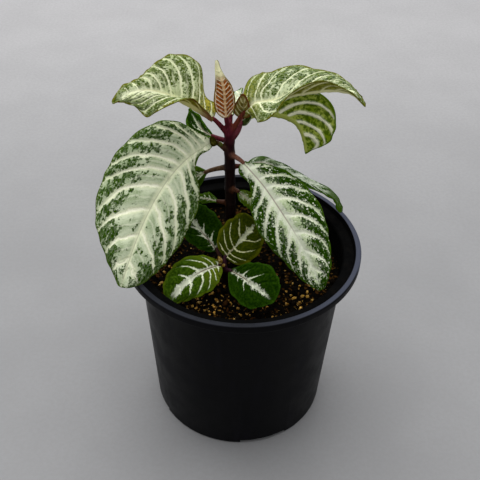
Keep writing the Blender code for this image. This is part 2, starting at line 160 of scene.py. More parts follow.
def place_in_mm(near, stretch=(1, 1, 1)):
    """Object coordinates in millimetres."""
    source = add_node(near, "TexCoord", {}).outputs["Object"]
    scale = [1000 * part for part in stretch]
    return add_node(near, "Mapping", {"Vector": source, "Scale": scale}).outputs[0]


def split(vector):
    """The three parts of a vector."""
    return add_node(vector, "SeparateXYZ", {0: vector}).outputs


def mottle(place, size, detail=2.0, roughness=0.5):
    """Cloudy pattern from 0 to 1 with clouds of about the given size in millimetres."""
    inputs = {"Vector": place, "Scale": 1 / size, "Detail": detail, "Roughness": roughness}
    return add_node(place, "TexNoise", inputs).outputs["Fac"]


bpy.ops.mesh.primitive_plane_add(size=FLOOR_SIZE, location=(0, 0, 0))
floor = bpy.context.object
floor.name = "floor"
floor_finish, shader = start_finish("floor_finish")
spot = place_in_mm(shader)
cloudy = fade(mottle(spot, 60, 4), 0.3, 0.7)
# Painted shade: the front grey is darker than the back grey, and the floor passes from one to the other
front = blend(cloudy, shade(142, 142, 143), shade(137, 137, 138))
back = blend(cloudy, shade(168, 167, 168), shade(163, 162, 163))
grainy = fade(mottle(spot, 2.5, 4, 0.7), 0.35, 0.65, 0.0, 0.25)
shaded_floor_colour = blend(fade(split(spot)[1], FRONT_SHADE_FADES_FROM, FRONT_SHADE_GONE_AT), front, back)
feed(shader.inputs["Base Color"], blend(grainy, shaded_floor_colour, shade(128, 127, 127)))
feed(shader.inputs["Roughness"], 0.75)
floor.data.materials.append(floor_finish)

bpy.context.scene.view_settings.view_transform = "Standard"
world = bpy.data.worlds.new("pale_surround")
bpy.context.scene.world = world
world.use_nodes = True
background = world.node_tree.nodes["Background"]
background.inputs["Color"].default_value = (0.97, 0.98, 1, 1)
background.inputs["Strength"].default_value = SURROUND_STRENGTH

bpy.ops.object.light_add(type="AREA", location=LAMP_PLACE)
overhead = bpy.context.object
overhead.name = "overhead_softbox"
overhead.data.shape = "RECTANGLE"
overhead.data.size = LAMP_SIDE
overhead.data.size_y = LAMP_SIDE
overhead.data.energy = LAMP_POWER
overhead.rotation_euler = (LAMP_PLACE - LAMP_AIM).to_track_quat("Z", "Y").to_euler()

# Pot
# A 12 cm nursery pot, moulded in black plastic about 1.3 mm thick, with a rim band on a shoulder, a foot
# ring with four notches and eight drain holes round a raised centre pad.
POT_SIDES = 160
RIM_TOP = 104
BASE_RADIUS = 46.8 * MM
EDGE_ROUNDING = 0.35 * MM
NOTCHES = 4
NOTCH_TURN = math.radians(-72)
NOTCH_HEIGHT = 1.1 * MM
NOTCH_BOX = (9 * MM, 26 * MM, 2.8 * MM)
DRAIN_HOLES = 8
DRAIN_RADIUS = 3.5 * MM
DRAIN_RING = 32 * MM
DRAIN_DEPTH = 6 * MM
POT_FLOOR = 4.4 * MM
SHELF_RADIUS = 57.2 * MM

# Radius and height of each ring in millimetres: up the inside, over the rim, down the outside, under the foot
POT_RINGS = [
    (19.2, 1.4), (22.2, 4.4), (44.5, 4.4), (45.5, 5.9), (48, 46), (51.2, 100), (51.9, 100.8), (56.5, 101.2),
    (57.1, 103.7), (57.4, 104), (59.5, 104), (60, 103.5), (60, 100.3), (59.7, 100), (53, 99.3), (52.5, 98.6),
    (49.6, 50), (46.8, 0.8), (46, 0), (43, 0), (42.4, 3), (23, 3), (20, 0),
]


def only(piece):
    """Makes the piece the one that is selected and active."""
    bpy.ops.object.select_all(action="DESELECT")
    piece.select_set(True)
    bpy.context.view_layer.objects.active = piece


def apply_all(piece):
    only(piece)
    for modifier in list(piece.modifiers):
        bpy.ops.object.modifier_apply(modifier=modifier.name)


def settle(piece, name, finish, slot, *nodes):
    """Names a finished piece, puts its place into its mesh and hands it to the frame."""
    only(piece)
    bpy.ops.object.transform_apply(location=True, rotation=True, scale=True)
    piece.name = name
    piece.data.name = name
    if not piece.data.materials:
        piece.data.materials.append(finish)
    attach(piece, "root")
    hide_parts(*nodes)


def cut_away(piece, cutter):
    """Takes the cutter's shape out of the piece and removes the cutter."""
    only(piece)
    cut = piece.modifiers.new("Cut", "BOOLEAN")
    cut.object = cutter
    bpy.ops.object.modifier_apply(modifier=cut.name)
    bpy.data.objects.remove(cutter)


def raise_surface(shader, height, depth, strength=1.0):
    bump = add_node(shader, "Bump", {"Strength": strength, "Distance": depth, "Height": height})
    feed(shader.inputs["Normal"], bump.outputs[0])


def coat(shader, colour, roughness, specular):
    feed(shader.inputs["Base Color"], colour)
    feed(shader.inputs["Roughness"], roughness)
    feed(shader.inputs["Specular IOR Level"], specular)


def ringed_piece(rings, sides):
    """A capped shape turned round the Z axis: a disc whose edge is drawn out from ring to ring."""
    bpy.ops.object.select_all(action="DESELECT")
    radius, height = rings[0]
    bpy.ops.mesh.primitive_circle_add(
        vertices=sides, radius=radius * MM, location=(0, 0, height * MM), fill_type="TRIFAN")
    piece = bpy.context.object
    bpy.ops.object.transform_apply(location=True)
    bpy.ops.object.mode_set(mode="EDIT")
    bpy.ops.mesh.select_mode(type="EDGE")
    bpy.ops.mesh.select_all(action="SELECT")
    bpy.ops.mesh.region_to_loop()
    for (radius, height), (next_radius, next_height) in zip(rings, rings[1:]):
        growth = next_radius / radius
        bpy.ops.mesh.extrude_edges_move(TRANSFORM_OT_translate={"value": (0, 0, (next_height - height) * MM)})
        bpy.ops.transform.resize(value=(growth, growth, 1), center_override=(0, 0, 0))
    bpy.ops.mesh.edge_face_add()
    bpy.ops.mesh.select_all(action="SELECT")
    bpy.ops.mesh.normals_make_consistent(inside=False)
    bpy.ops.object.mode_set(mode="OBJECT")
    return piece


pot = ringed_piece(POT_RINGS, POT_SIDES)
rounding = pot.modifiers.new("Rounding", "BEVEL")
rounding.limit_method = "ANGLE"
rounding.angle_limit = math.radians(25)
rounding.width = EDGE_ROUNDING
rounding.segments = 3
apply_all(pot)

for turn in range(NOTCHES):
    angle = NOTCH_TURN + turn * math.pi / 2
    bpy.ops.mesh.primitive_cube_add(
        size=1, location=(BASE_RADIUS * math.cos(angle), BASE_RADIUS * math.sin(angle), NOTCH_HEIGHT),
        rotation=(0, 0, angle), scale=NOTCH_BOX)
    cut_away(pot, bpy.context.object)
for hole in range(DRAIN_HOLES):
    angle = 2 * math.pi * (hole + 0.5) / DRAIN_HOLES
    bpy.ops.mesh.primitive_cylinder_add(
        vertices=32, radius=DRAIN_RADIUS, depth=DRAIN_DEPTH,
        location=(DRAIN_RING * math.cos(angle), DRAIN_RING * math.sin(angle), POT_FLOOR))
    cut_away(pot, bpy.context.object)
only(pot)
bpy.ops.object.shade_smooth_by_angle(angle=math.radians(40))

plastic, shader = start_finish("black_nursery_plastic")
spot = place_in_mm(shader)
streaks = mottle(place_in_mm(shader, (1, 1, 0.12)), 3, 4)
dusty = mottle(spot, 14, 5, 0.6)
grain = mottle(spot, 0.5, 2)
dust = fade(times_plus(streaks, 0.5, times(dusty, 0.6)), 0.5, 0.85)
plain_black = blend(dust, shade(8, 8, 10), shade(15, 15, 20))
rightwards, _, height = split(spot)
# Painted reflection: a bluish-grey band of sky reflection along the rim top, broken up by the dust mottle
rim_top_painted_sheen = times(fade(height, RIM_TOP - 0.4, RIM_TOP), fade(dusty, 0.2, 0.6, 0.55, 1))
sheened_black = blend(rim_top_painted_sheen, plain_black, shade(36, 38, 44))
# Painted reflection: a paler bluish tone on the rim's flat top and on the rim band's outer face, on the right
# side
painted_top_glint = times(fade(height, RIM_TOP - 0.15, RIM_TOP), fade(rightwards, 5, 50))
painted_side_glint = times(fade(height, 99, 100.5), fade(rightwards, 54.5, 58))
reflection_painted_black = blend(sum_of("MAXIMUM", painted_top_glint, painted_side_glint), sheened_black, shade(62, 66, 79))
coat(shader, reflection_painted_black, fade(dusty, 0.3, 0.7, 0.36, 0.5), specular=0.12)
feed(shader.inputs["IOR"], 1.3)
raise_surface(shader, times_plus(streaks, 0.6, times(grain, 0.25)), depth=0.12 * MM, strength=0.6)

# The inside and the shelf under the rim are dull with dried dust of the mix, and their black is painted
# darker than the outside's as painted shade
shaded_dull_inside, shader = start_finish("shaded_dull_black_inside")
spot = place_in_mm(shader)
stain = fade(mottle(spot, 5, 5, 0.6), 0.5, 0.8, 0.0, 0.6)
# Painted shade: a darker black than the outside plastic, with brown stains of dust
shaded_dusty_black = blend(stain, shade(5, 5, 5), shade(18, 15, 12))
coat(shader, shaded_dusty_black, fade(mottle(spot, 2, 3), 0.3, 0.7, 0.7, 0.85), specular=0.02)
raise_surface(shader, mottle(spot, 0.6, 3), depth=0.1 * MM, strength=0.6)
pot.data.materials.append(plastic)
pot.data.materials.append(shaded_dull_inside)
for face in pot.data.polygons:
    middle = face.center
    outward = (face.normal.x * middle.x + face.normal.y * middle.y) / math.hypot(middle.x, middle.y)
    inside = outward < -0.3 or face.normal.z > 0.3
    above_floor = middle.z > POT_FLOOR - 0.1 * MM
    if inside and above_floor and math.hypot(middle.x, middle.y) < SHELF_RADIUS:
        face.material_index = 1
settle(pot, "pot_body", plastic, "black_plastic", "pot")

# Potting mix
# Dark peat and fine bark fill the pot to 15 mm under its rim, a little higher round the stems. Grains of
# pumice and bark chips lie in it, more of them towards the front.
SOIL_LEVEL = 89
SOIL_EDGE = 50.1
SOIL_RINGS = 46
SOIL_SIDES = 150
SOIL_BODY_RINGS = [(49.9, 86), (45.05, 5.9), (44.2, 4.7), (21.9, 4.7), (18.9, 1.7)]
CRUMB_WAVES = ((4.3, 0.35), (2.7, 0.3), (1.9, 0.28), (1.3, 0.2))
CRUMB_SEED = 4

rng = np.random.default_rng(CRUMB_SEED)


def soil_height(x, y):
    """Height in millimetres of the mix at x, y in millimetres."""
    lumps = (
        np.sin(0.310 * x + 1.3) * np.sin(0.270 * y + 0.4)
        + 0.6 * np.sin(0.720 * x - 0.530 * y)
        + 0.4 * np.sin(0.610 * x + 0.880 * y + 2.1)
    )
    mound = np.exp(-((x + 6) ** 2 + y ** 2) / 22 ** 2)
    return SOIL_LEVEL + 0.4 * lumps + mound


def cell_pattern(place, scale, dimensions="3D"):
    """Irregular cells: chances from 0 to 1 that differ from cell to cell, and distance from the middle."""
    cells = add_node(place, "TexVoronoi", {"Vector": place, "Scale": scale}, voronoi_dimensions=dimensions)
    chances = add_node(place, "SeparateColor", {0: cells.outputs["Color"]}).outputs
    return chances, cells.outputs["Distance"]


def crumble(x, y):
    """Small crumbs on the surface, as a height in millimetres."""
    total = np.zeros_like(x)
    for turn, (size, height) in enumerate(CRUMB_WAVES):
        angle = 0.7 + 1.3 * turn
        along = (x * math.cos(angle) + y * math.sin(angle)) / size * 2.2
        over = (y * math.cos(angle) - x * math.sin(angle)) / size * 2.2
        folds = np.sin(along + 1.7 * np.sin(over * 0.6 + turn))
        total += height * folds * np.sin(over + 1.9 * np.sin(along * 0.7))
    return total


def corners_of(piece):
    """Places of a mesh's corners, one row for each."""
    places = np.empty(len(piece.data.vertices) * 3)
    piece.data.vertices.foreach_get("co", places)
    return places.reshape(-1, 3)


ring_radii = [0.3] + [SOIL_EDGE * (ring + 1) / SOIL_RINGS for ring in range(SOIL_RINGS)]
soil = ringed_piece([(radius, SOIL_LEVEL) for radius in ring_radii] + SOIL_BODY_RINGS, SOIL_SIDES)
corners = corners_of(soil) / MM
surface = corners[:, 2] > SOIL_LEVEL - 1
x = corners[surface, 0]
y = corners[surface, 1]
from_wall = SOIL_EDGE + 0.3 - np.hypot(x, y)
corners[surface, 2] = soil_height(x, y) + crumble(x, y) * np.clip(from_wall / 2, 0, 1)
soil.data.vertices.foreach_set("co", (corners * MM).ravel())
only(soil)
bpy.ops.object.shade_smooth()

peat, shader = start_finish("peat_and_bark")
spot = place_in_mm(shader)
chances, from_middle = cell_pattern(spot, 0.9)
base = blend(mottle(spot, 2.2, 4), shade(2, 2, 1), shade(14, 10, 5))
base = blend(fade(chances[0], 0.86, 0.97), base, shade(70, 46, 14))
golden = times(fade(chances[1], 0.965, 0.99), fade(split(spot)[1], -30, 0, 1.0, 0.12))
base = blend(golden, base, shade(180, 136, 62))
coat(shader, base, fade(mottle(spot, 3, 3), 0.35, 0.65, 0.55, 0.95), specular=0.02)
raise_surface(shader, plus(mottle(spot, 0.8, 5, 0.7), from_middle), depth=0.7 * MM)
settle(soil, "soil_surface", peat, "potting_mix", "soil")


def scatter_grains(name, finish, count, smallest, largest, front_bias, flatness, sink):
    """Angular grains, each the same ico sphere knocked out of true, turned and set on the mix."""
    bpy.ops.object.select_all(action="DESELECT")
    bpy.ops.mesh.primitive_ico_sphere_add(subdivisions=2, radius=1)
    grain = bpy.context.object
    shape = corners_of(grain)
    size = len(shape)
    faces = np.array([face.vertices[:] for face in grain.data.polygons])
    bpy.data.objects.remove(grain)
    points = []
    loops = []
    tones = []
    while len(points) < count:
        angle = rng.uniform(0, 2 * math.pi)
        reach = (SOIL_EDGE - 1.2) * math.sqrt(rng.uniform(0, 1))
        x = reach * math.cos(angle)
        y = reach * math.sin(angle)
        forward = np.clip((SOIL_EDGE * 0.5 - y) / (SOIL_EDGE * 1.4), 0, 1)
        if rng.uniform(0, 1) > front_bias + (1 - front_bias) * forward ** 2.2:
            continue
        radius = smallest + (largest - smallest) * rng.uniform(0, 1) ** 2.6
        knocks = np.sin(shape @ rng.normal(0, 2.2, (3, 3)) + rng.uniform(0, 6, 3)).sum(1)[:, None]
        turn = np.linalg.qr(rng.normal(0, 1, (3, 3)))[0]
        if np.linalg.det(turn) < 0:
            turn[0] *= -1
        stretch = np.array([rng.uniform(0.75, 1.35), rng.uniform(0.75, 1.1), rng.uniform(*flatness)])
        body = (shape * (1 + 0.28 * knocks / 1.7) * stretch * radius) @ turn
        body += (x, y, soil_height(x, y) + crumble(np.array([x]), np.array([y]))[0] + radius * sink)
        loops.append(faces + len(points) * size)
        points.append(body)
        tones.append(np.full(size, rng.uniform(0, 1)))
    mesh = bpy.data.meshes.new(name)
    mesh.from_pydata((np.vstack(points) * MM).tolist(), [], np.vstack(loops).tolist())
    tone = mesh.attributes.new("tone", "FLOAT", "POINT")
    tone.data.foreach_set("value", np.concatenate(tones))
    grains = bpy.data.objects.new(name, mesh)
    bpy.context.scene.collection.objects.link(grains)
    only(grains)
    bpy.ops.object.shade_smooth_by_angle(angle=math.radians(35))
    settle(grains, name, finish, "potting_mix")


def grain_finish(name, dark, light, pale):
    """Rough grain whose colour differs from grain to grain, and over each grain."""
    material, shader = start_finish(name)
    spot = place_in_mm(shader)
    tone = add_node(shader, "Attribute", {}, attribute_name="tone").outputs["Fac"]
    base = blend(tone, shade(*dark), shade(*light))
    base = blend(fade(mottle(spot, 0.7, 3), 0.5, 0.75), base, shade(*pale))
    base = blend(fade(mottle(spot, 1.5, 4), 0.55, 0.7), base, shade(12, 8, 4))
    coat(shader, base, roughness=0.8, specular=0.03)
    raise_surface(shader, mottle(spot, 0.35, 3), depth=0.15 * MM)
    return material


pumice = grain_finish("golden_pumice", (110, 72, 14), (206, 160, 70), (236, 212, 150))
bark_chip = grain_finish("bark_chip", (16, 9, 3), (70, 42, 12), (96, 62, 24))
peat_crumb = grain_finish("peat_crumb", (2, 2, 1), (18, 13, 7), (24, 17, 9))
scatter_grains("pumice_grains", pumice, count=270, smallest=0.2, largest=1.15, front_bias=0.01,
               flatness=(0.6, 0.95), sink=0.25)
scatter_grains("bark_chips", bark_chip, count=190, smallest=0.4, largest=1.7, front_bias=0.35,
               flatness=(0.35, 0.7), sink=0.25)
scatter_grains("peat_crumbs", peat_crumb, count=330, smallest=0.5, largest=2.1, front_bias=0.7,
               flatness=(0.5, 0.95), sink=0.15)

# Main stem
# A soft woody stem about 5.6 mm thick, rooted in the mix, dark brown-purple below and crimson at the growing
# tip. Twelve leaf stalks, most of them in pairs, grow out of its nodes, and so do a green and a brown bud.
MAIN_STEM_AXIS = ((-5.8, 10, 92), (-1.8, -1.0, 76))
MAIN_STEM_HEIGHTS = [64, 92, 110, 128, 145, 155, 162, 166.5, 168.5]
MAIN_STEM_RADII = [2.8, 2.8, 2.74, 2.66, 2.58, 2.46, 2.38, 1.96, 0.84]
NODE_HEIGHTS = [101, 111, 121, 130, 143, 151, 157.5, 162]
NODE_SWELLING = 0.3
NODE_REACH = 1.3
# Height in millimetres at which each stalk leaves the stem, and its tone
MAIN_STALKS = {
    "leaf_young_front": (165, (88, 26, 36)), "leaf_young_back": (164.5, (86, 24, 36)),
    "leaf_top_left": (161.5, (84, 24, 32)), "leaf_top_right": (162, (98, 46, 32)),
    "leaf_upper_right": (158.5, (114, 52, 62)), "leaf_upper_left": (157, (90, 22, 38)),
    "leaf_big_left": (152, (64, 42, 28)), "leaf_big_right": (150.5, (106, 70, 56)),
    "leaf_low_left": (143, (92, 70, 50)), "leaf_back_right": (143, (72, 34, 24)),
    "leaf_small_right": (130, (76, 46, 30)), "leaf_small_left": (121, (66, 38, 22)),
}
MAIN_STEM_TONES = [(64, (20, 10, 7)), (118, (21, 10, 8)), (145, (26, 10, 11)), (156, (36, 6, 13)),
                   (161, (64, 11, 26)), (169, (102, 24, 46))]
STALK_RADIUS = 1.1
MAIN_STALK_TAPER = (1.35, 0.5, 0.16)
SHOOT_STALK_TAPER = (1.2, 0.4, 0.2)
STALK_POINTS = 15
STALK_OVERLAP = 1.2
HANGING_STALK_BOW = np.array((1.3, -1.3, -0.6))


def unit(vector):
    return vector / np.maximum(np.linalg.norm(vector, axis=-1, keepdims=True), 1e-9)


def grow_tube(points, radii):
    """A closed round tube along points in millimetres, with a radius at each."""
    bpy.ops.object.select_all(action="DESELECT")
    bpy.ops.curve.primitive_nurbs_path_add()
    path = bpy.context.object
    path.data.splines.clear()
    spline = path.data.splines.new("POLY")
    spline.points.add(len(points) - 1)
    for point, place, radius in zip(spline.points, points, radii):
        point.co = (*(np.array(place) * MM), 1)
        point.radius = radius * MM
    path.data.bevel_depth = 1
    path.data.bevel_resolution = 5
    path.data.use_fill_caps = True
    only(path)
    bpy.ops.object.convert(target="MESH")
    return bpy.context.object


def stalk_line(start, midrib):
    """Centre line of a stalk from its stem to the first point of a blade's midrib."""
    midrib = np.array(midrib, float)
    blade_direction = unit(midrib[1] - midrib[0])
    end = midrib[0] + blade_direction * STALK_OVERLAP
    reach = np.linalg.norm(end - start) / 3
    outward = unit(np.array((end[0] - start[0], end[1] - start[1], 0.7 * (end[2] - start[2]))))
    first = start + outward * reach
    second = end - blade_direction * reach
    part = np.linspace(0, 1, STALK_POINTS)[:, None]
    rest = 1 - part
    return rest ** 3 * start + 3 * rest ** 2 * part * first + 3 * rest * part ** 2 * second + part ** 3 * end


def axis_point(axis, height):
    """Middle of a stem at a height. It is upright below the foot that its axis names and leans above it."""
    foot, lean = axis
    above = max(height - foot[2], 0) / lean[2]
    return np.array((foot[0] + lean[0] * above, foot[1] + lean[1] * above, height))


def smooth_curve(values, count):
    """A smooth curve through the values, sampled at evenly spaced places."""
    values = np.array(values, float)
    last = len(values) - 1
    padded = np.vstack([2 * values[0] - values[1], values, 2 * values[-1] - values[-2]])
    position = np.linspace(0, last, count)
    index = np.clip(position.astype(int), 0, last - 1)
    part = (position - index)[:, None]
    behind = padded[index]
    here = padded[index + 1]
    ahead = padded[index + 2]
    beyond = padded[index + 3]
    return 0.5 * (
        2 * here
        + (ahead - behind) * part
        + (2 * behind - 5 * here + 4 * ahead - beyond) * part ** 2
        + (3 * here - behind - 3 * ahead + beyond) * part ** 3
    )


def grow_together(tubes, fineness):
    """Joins tubes and buds into one skin with soft shoulders where they meet."""
    only(tubes[0])
    for tube in tubes[1:]:
        tube.select_set(True)
    bpy.ops.object.join()
    skin = bpy.context.object
    remesh = skin.modifiers.new("One_skin", "REMESH")
    remesh.mode = "VOXEL"
    remesh.voxel_size = fineness * MM
    softening = skin.modifiers.new("Soft_shoulders", "SMOOTH")
    softening.factor = 0.5
    softening.iterations = 5
    apply_all(skin)
    bpy.ops.object.shade_smooth()
    return skin


def bud(place, radius, stretch, lean):
    """A small pointed bud."""
    bpy.ops.mesh.primitive_uv_sphere_add(segments=20, ring_count=14, radius=radius * MM)
    piece = bpy.context.object
    for vertex in piece.data.vertices:
        up = vertex.co.z / (radius * MM)
        pinch = 1 - 0.45 * max(up, 0) ** 2
        vertex.co.x = vertex.co.x * pinch + lean[0] * MM * max(up, 0)
        vertex.co.y = vertex.co.y * pinch + lean[1] * MM * max(up, 0)
        vertex.co.z *= stretch
    piece.location = Vector(place) * MM
    only(piece)
    bpy.ops.object.transform_apply(location=True)
    return piece


def paint_skin(skin, stem_tones, lines, spots):
    """Gives each point a skin colour: the stem's by height, each stalk's near its line, and each bud's."""
    places = corners_of(skin) / MM
    count = len(places)
    heights, tones = zip(*stem_tones)
    tones = np.array([shade(*tone)[:3] for tone in tones])
    colour = np.array([np.interp(places[:, 2], heights, part) for part in tones.T]).T
    for line, tone in lines:
        distance = np.full(count, 1e9)
        share = np.zeros(count)
        for part, point in zip(np.linspace(0, 1, len(line)), line):
            away = np.linalg.norm(places - point, axis=1)
            nearer = away < distance
            distance[nearer] = away[nearer]
            share[nearer] = part
        cover = np.clip((2.6 - distance) / 0.8, 0, 1) * np.clip((share - 0.12) / 0.25, 0, 1)
        colour += (np.array(shade(*tone)[:3]) - colour) * cover[:, None]
    for place, reach, tone in spots:
        away = np.linalg.norm(places - np.array(place), axis=1)
        cover = np.clip((reach - away) / 0.6, 0, 1)
        colour += (np.array(shade(*tone)[:3]) - colour) * cover[:, None]
    layer = skin.data.attributes.new("skin", "FLOAT_COLOR", "POINT")
    layer.data.foreach_set("color", np.hstack([colour, np.ones((count, 1))]).ravel())


def bark_finish(name, roughness):
    material, shader = start_finish(name)
    skin = add_node(shader, "Attribute", {}, attribute_name="skin").outputs["Color"]
    ridges = mottle(place_in_mm(shader, (1, 1, 0.16)), 0.9, 4, 0.6)
    specks = mottle(place_in_mm(shader), 0.45, 2)
    # Painted shade and highlight: the skin colour is darkened in the furrows and lightened on the ridges
    painted_shade_and_highlight = blend(fade(ridges, 0.3, 0.7), (0.6, 0.55, 0.5, 1), (1.35, 1.3, 1.25, 1))
    ridged = add_node(shader, "Mix", {0: 1.0, 6: skin, 7: painted_shade_and_highlight}, data_type="RGBA", blend_type="MULTIPLY")
    base = blend(fade(specks, 0.68, 0.8, 0, 0.35), ridged.outputs[2], shade(96, 74, 60))
    coat(shader, base, roughness, specular=0.1)
    raise_surface(shader, times_plus(specks, 0.2, ridges), depth=0.25 * MM, strength=0.8)
    return material


def stem_with_stalks(axis, heights, radii, stalks, taper):
    """Tubes of a stem and of its stalks, and each stalk's centre line with its tone."""
    tubes = [grow_tube([axis_point(axis, height) for height in heights], radii)]
    lines = []
    foot, thinning, flare = taper
    for leaf_name, (height, tone) in stalks.items():
        line = stalk_line(axis_point(axis, height), LEAF_LINES[leaf_name])
        part = np.linspace(0, 1, len(line))
        if leaf_name == "leaf_upper_right":
            line = line + np.sin(math.pi * part)[:, None] * HANGING_STALK_BOW
        thick = foot - thinning * part + thinning * np.exp(-(part / flare) ** 2)
        tubes.append(grow_tube(line, STALK_RADIUS * thick))
        lines.append((line, tone))
    return tubes, lines


# Midrib of each blade in millimetres, from its stalk to its tip
LEAF_LINES = {
    "leaf_big_left": [(-15, 6, 159), (-26, 0.5, 153.5), (-35, -5.5, 145.5), (-42, -13, 136.5),
                      (-47.5, -21, 127), (-52, -29.5, 117), (-56, -38, 106)],
    "leaf_big_right": [(-1, 1, 151.5), (9, -6.5, 143.5), (17.5, -14, 134.5), (25.5, -20.5, 124.5),
                       (32.5, -25, 112.5), (38.5, -30, 100)],
    "leaf_back_right": [(-1, 11, 142.5), (9.5, 18.5, 140), (18.5, 22.5, 133), (29, 25, 126),
                        (38.5, 26.5, 119.5), (47.5, 25, 114.5), (51, 19.5, 109)],
    "leaf_top_left": [(-14.5, 6, 171), (-21.5, 5.5, 176), (-28.5, 5, 180.5), (-36, 3.5, 184.5),
                      (-43.5, 1, 187.5), (-51, -2, 187.5), (-57.5, -7, 185)],
    "leaf_top_right": [(-1, 7, 174), (4, 5, 180.5), (12, 3, 183), (20, 2, 186.5), (28.5, 0.5, 189),
                       (36.5, -0.5, 190.5), (45, -3, 190.5), (51.5, -5, 185.5)],
    "leaf_upper_right": [(-2, 12, 168), (4.5, 16.5, 168), (11, 20.5, 166), (18.5, 22.5, 163.5), (25, 23, 159),
                         (28.5, 21.5, 152), (30, 20, 144.5)],
    "leaf_upper_left": [(-15, 13, 157.5), (-20, 18.5, 157), (-24, 24.5, 159), (-27.5, 30, 162.5)],
    "leaf_low_left": [(-18.5, 11, 138.5), (-26, 11.5, 133.5), (-33, 12, 126.5), (-40, 10.5, 120),
                      (-46, 9, 113)],
    "leaf_small_right": [(-3, 5, 132), (0.5, 1.5, 131), (4.5, -2.5, 130), (8, -6, 128)],
    "leaf_small_left": [(-12.5, 10, 121.5), (-17.5, 11, 122), (-22, 13, 121), (-27, 14, 119.5)],
    "leaf_young_front": [(-9, 7, 171), (-9.5, 6.5, 178), (-10, 6, 185.5), (-11.5, 6.5, 192.5),
                         (-13.5, 8, 199)],
    "leaf_young_back": [(-7, 12, 169), (-6, 15, 173.5), (-4, 19, 176), (-2, 24, 177.5)],
    "shoot_leaf_back": [(-12.5, -7, 104), (-19, 0, 107.5), (-25, 7.5, 109.5), (-29, 16.5, 110)],
    "shoot_leaf_right": [(-8.5, -13.5, 105), (-2.5, -9, 109.5), (3, -2.5, 112.5), (7, 5, 113.5)],
    "shoot_leaf_left": [(-10.5, -17.5, 103.5), (-19.5, -23.5, 104), (-27.5, -29.5, 101), (-34.5, -35.5, 95)],
    "shoot_leaf_front": [(-5.5, -22, 104), (1, -29, 105.5), (8, -36, 105), (15.5, -41, 102)],
    "top_right_base_lobe": [(-2, 9, 170), (-1.3, 8, 174.4), (-1.1, 6.3, 179.3), (-1.5, 4.8, 184.7)],
    "upper_right_curl": [(-2.2, 10.6, 166.4), (-0.6, 9.6, 167.2), (1, 8.8, 169.6), (2.3, 8.6, 172.1)],
    "big_left_fold": [(-13.3, 5.2, 157.2), (-14.2, 4.6, 159), (-15, 4.4, 160.8), (-15.7, 4.6, 162.4)],
}

heights = np.linspace(MAIN_STEM_HEIGHTS[0], MAIN_STEM_HEIGHTS[-1], 120)
radii = np.interp(heights, MAIN_STEM_HEIGHTS, MAIN_STEM_RADII)
for node_height in NODE_HEIGHTS:
    radii += NODE_SWELLING * np.exp(-((heights - node_height) / NODE_REACH) ** 2)
tubes, lines = stem_with_stalks(MAIN_STEM_AXIS, heights, radii, MAIN_STALKS, MAIN_STALK_TAPER)
green_bud_place = axis_point(MAIN_STEM_AXIS, 157.3) + (-4.0, -2.4, 0)
brown_bud_place = axis_point(MAIN_STEM_AXIS, 150.5) + (2.0, -1.6, 0)
tubes.append(bud(green_bud_place, radius=1.05, stretch=1.2, lean=(-0.4, -0.2)))
tubes.append(bud(brown_bud_place, radius=1.1, stretch=1.1, lean=(0.3, -0.2)))
main_stem = grow_together(tubes, fineness=0.3)
paint_skin(main_stem, MAIN_STEM_TONES, lines,
           [(green_bud_place, 1.5, (86, 100, 34)), (brown_bud_place, 1.6, (100, 66, 62))])
stem_bark = bark_finish("stem_bark", roughness=0.5)
settle(main_stem, "main_stem_bark", stem_bark, "stem_bark", "main_stem")

# Side shoot
# A short soft young shoot, dark purple-brown, rooted in the mix in front of the main stem. It carries four
# leaves and ends in a small yellow-brown bud with a smaller one beside it.
SHOOT_AXIS = ((-8, -14.5, 91), (-0.7, -2, 10))
SHOOT_STALKS = {
    "shoot_leaf_back": (98, (52, 28, 24)), "shoot_leaf_right": (100, (46, 20, 32)),
    "shoot_leaf_left": (99, (50, 22, 22)), "shoot_leaf_front": (98.5, (40, 17, 28)),
}
SHOOT_HEIGHTS = [74, 91, 96, 100, 102, 103.5]
SHOOT_RADII = [1.6, 1.6, 1.52, 1.6, 1.36, 0.64]
SHOOT_TONES = [(74, (24, 13, 11)), (96, (32, 14, 20)), (104, (66, 26, 22))]
heights = np.linspace(SHOOT_HEIGHTS[0], SHOOT_HEIGHTS[-1], 40)
radii = np.interp(heights, SHOOT_HEIGHTS, SHOOT_RADII)
tubes, lines = stem_with_stalks(SHOOT_AXIS, heights, radii, SHOOT_STALKS, SHOOT_STALK_TAPER)
side_shoot = grow_together(tubes, fineness=0.22)
paint_skin(side_shoot, SHOOT_TONES, lines, [])
shoot_bark = bark_finish("shoot_bark", roughness=0.5)
settle(side_shoot, "side_shoot_bark", shoot_bark, "shoot_bark", "side_shoot")

bud_tone = grain_finish("shoot_bud_scales", (128, 98, 36), (186, 164, 88), (218, 208, 152))
shoot_top = axis_point(SHOOT_AXIS, SHOOT_HEIGHTS[-1])
shoot_bud = bud((shoot_top[0] - 1.6, shoot_top[1], 106), radius=1.1, stretch=2.2, lean=(-1.0, 0.2))
second_bud = bud((shoot_top[0], shoot_top[1] - 1.3, 103.9), radius=0.85, stretch=1.4, lean=(0.2, -0.3))
only(shoot_bud)
second_bud.select_set(True)
bpy.ops.object.join()
bpy.ops.object.shade_smooth()
settle(bpy.context.object, "shoot_bud", bud_tone, "shoot_bark")

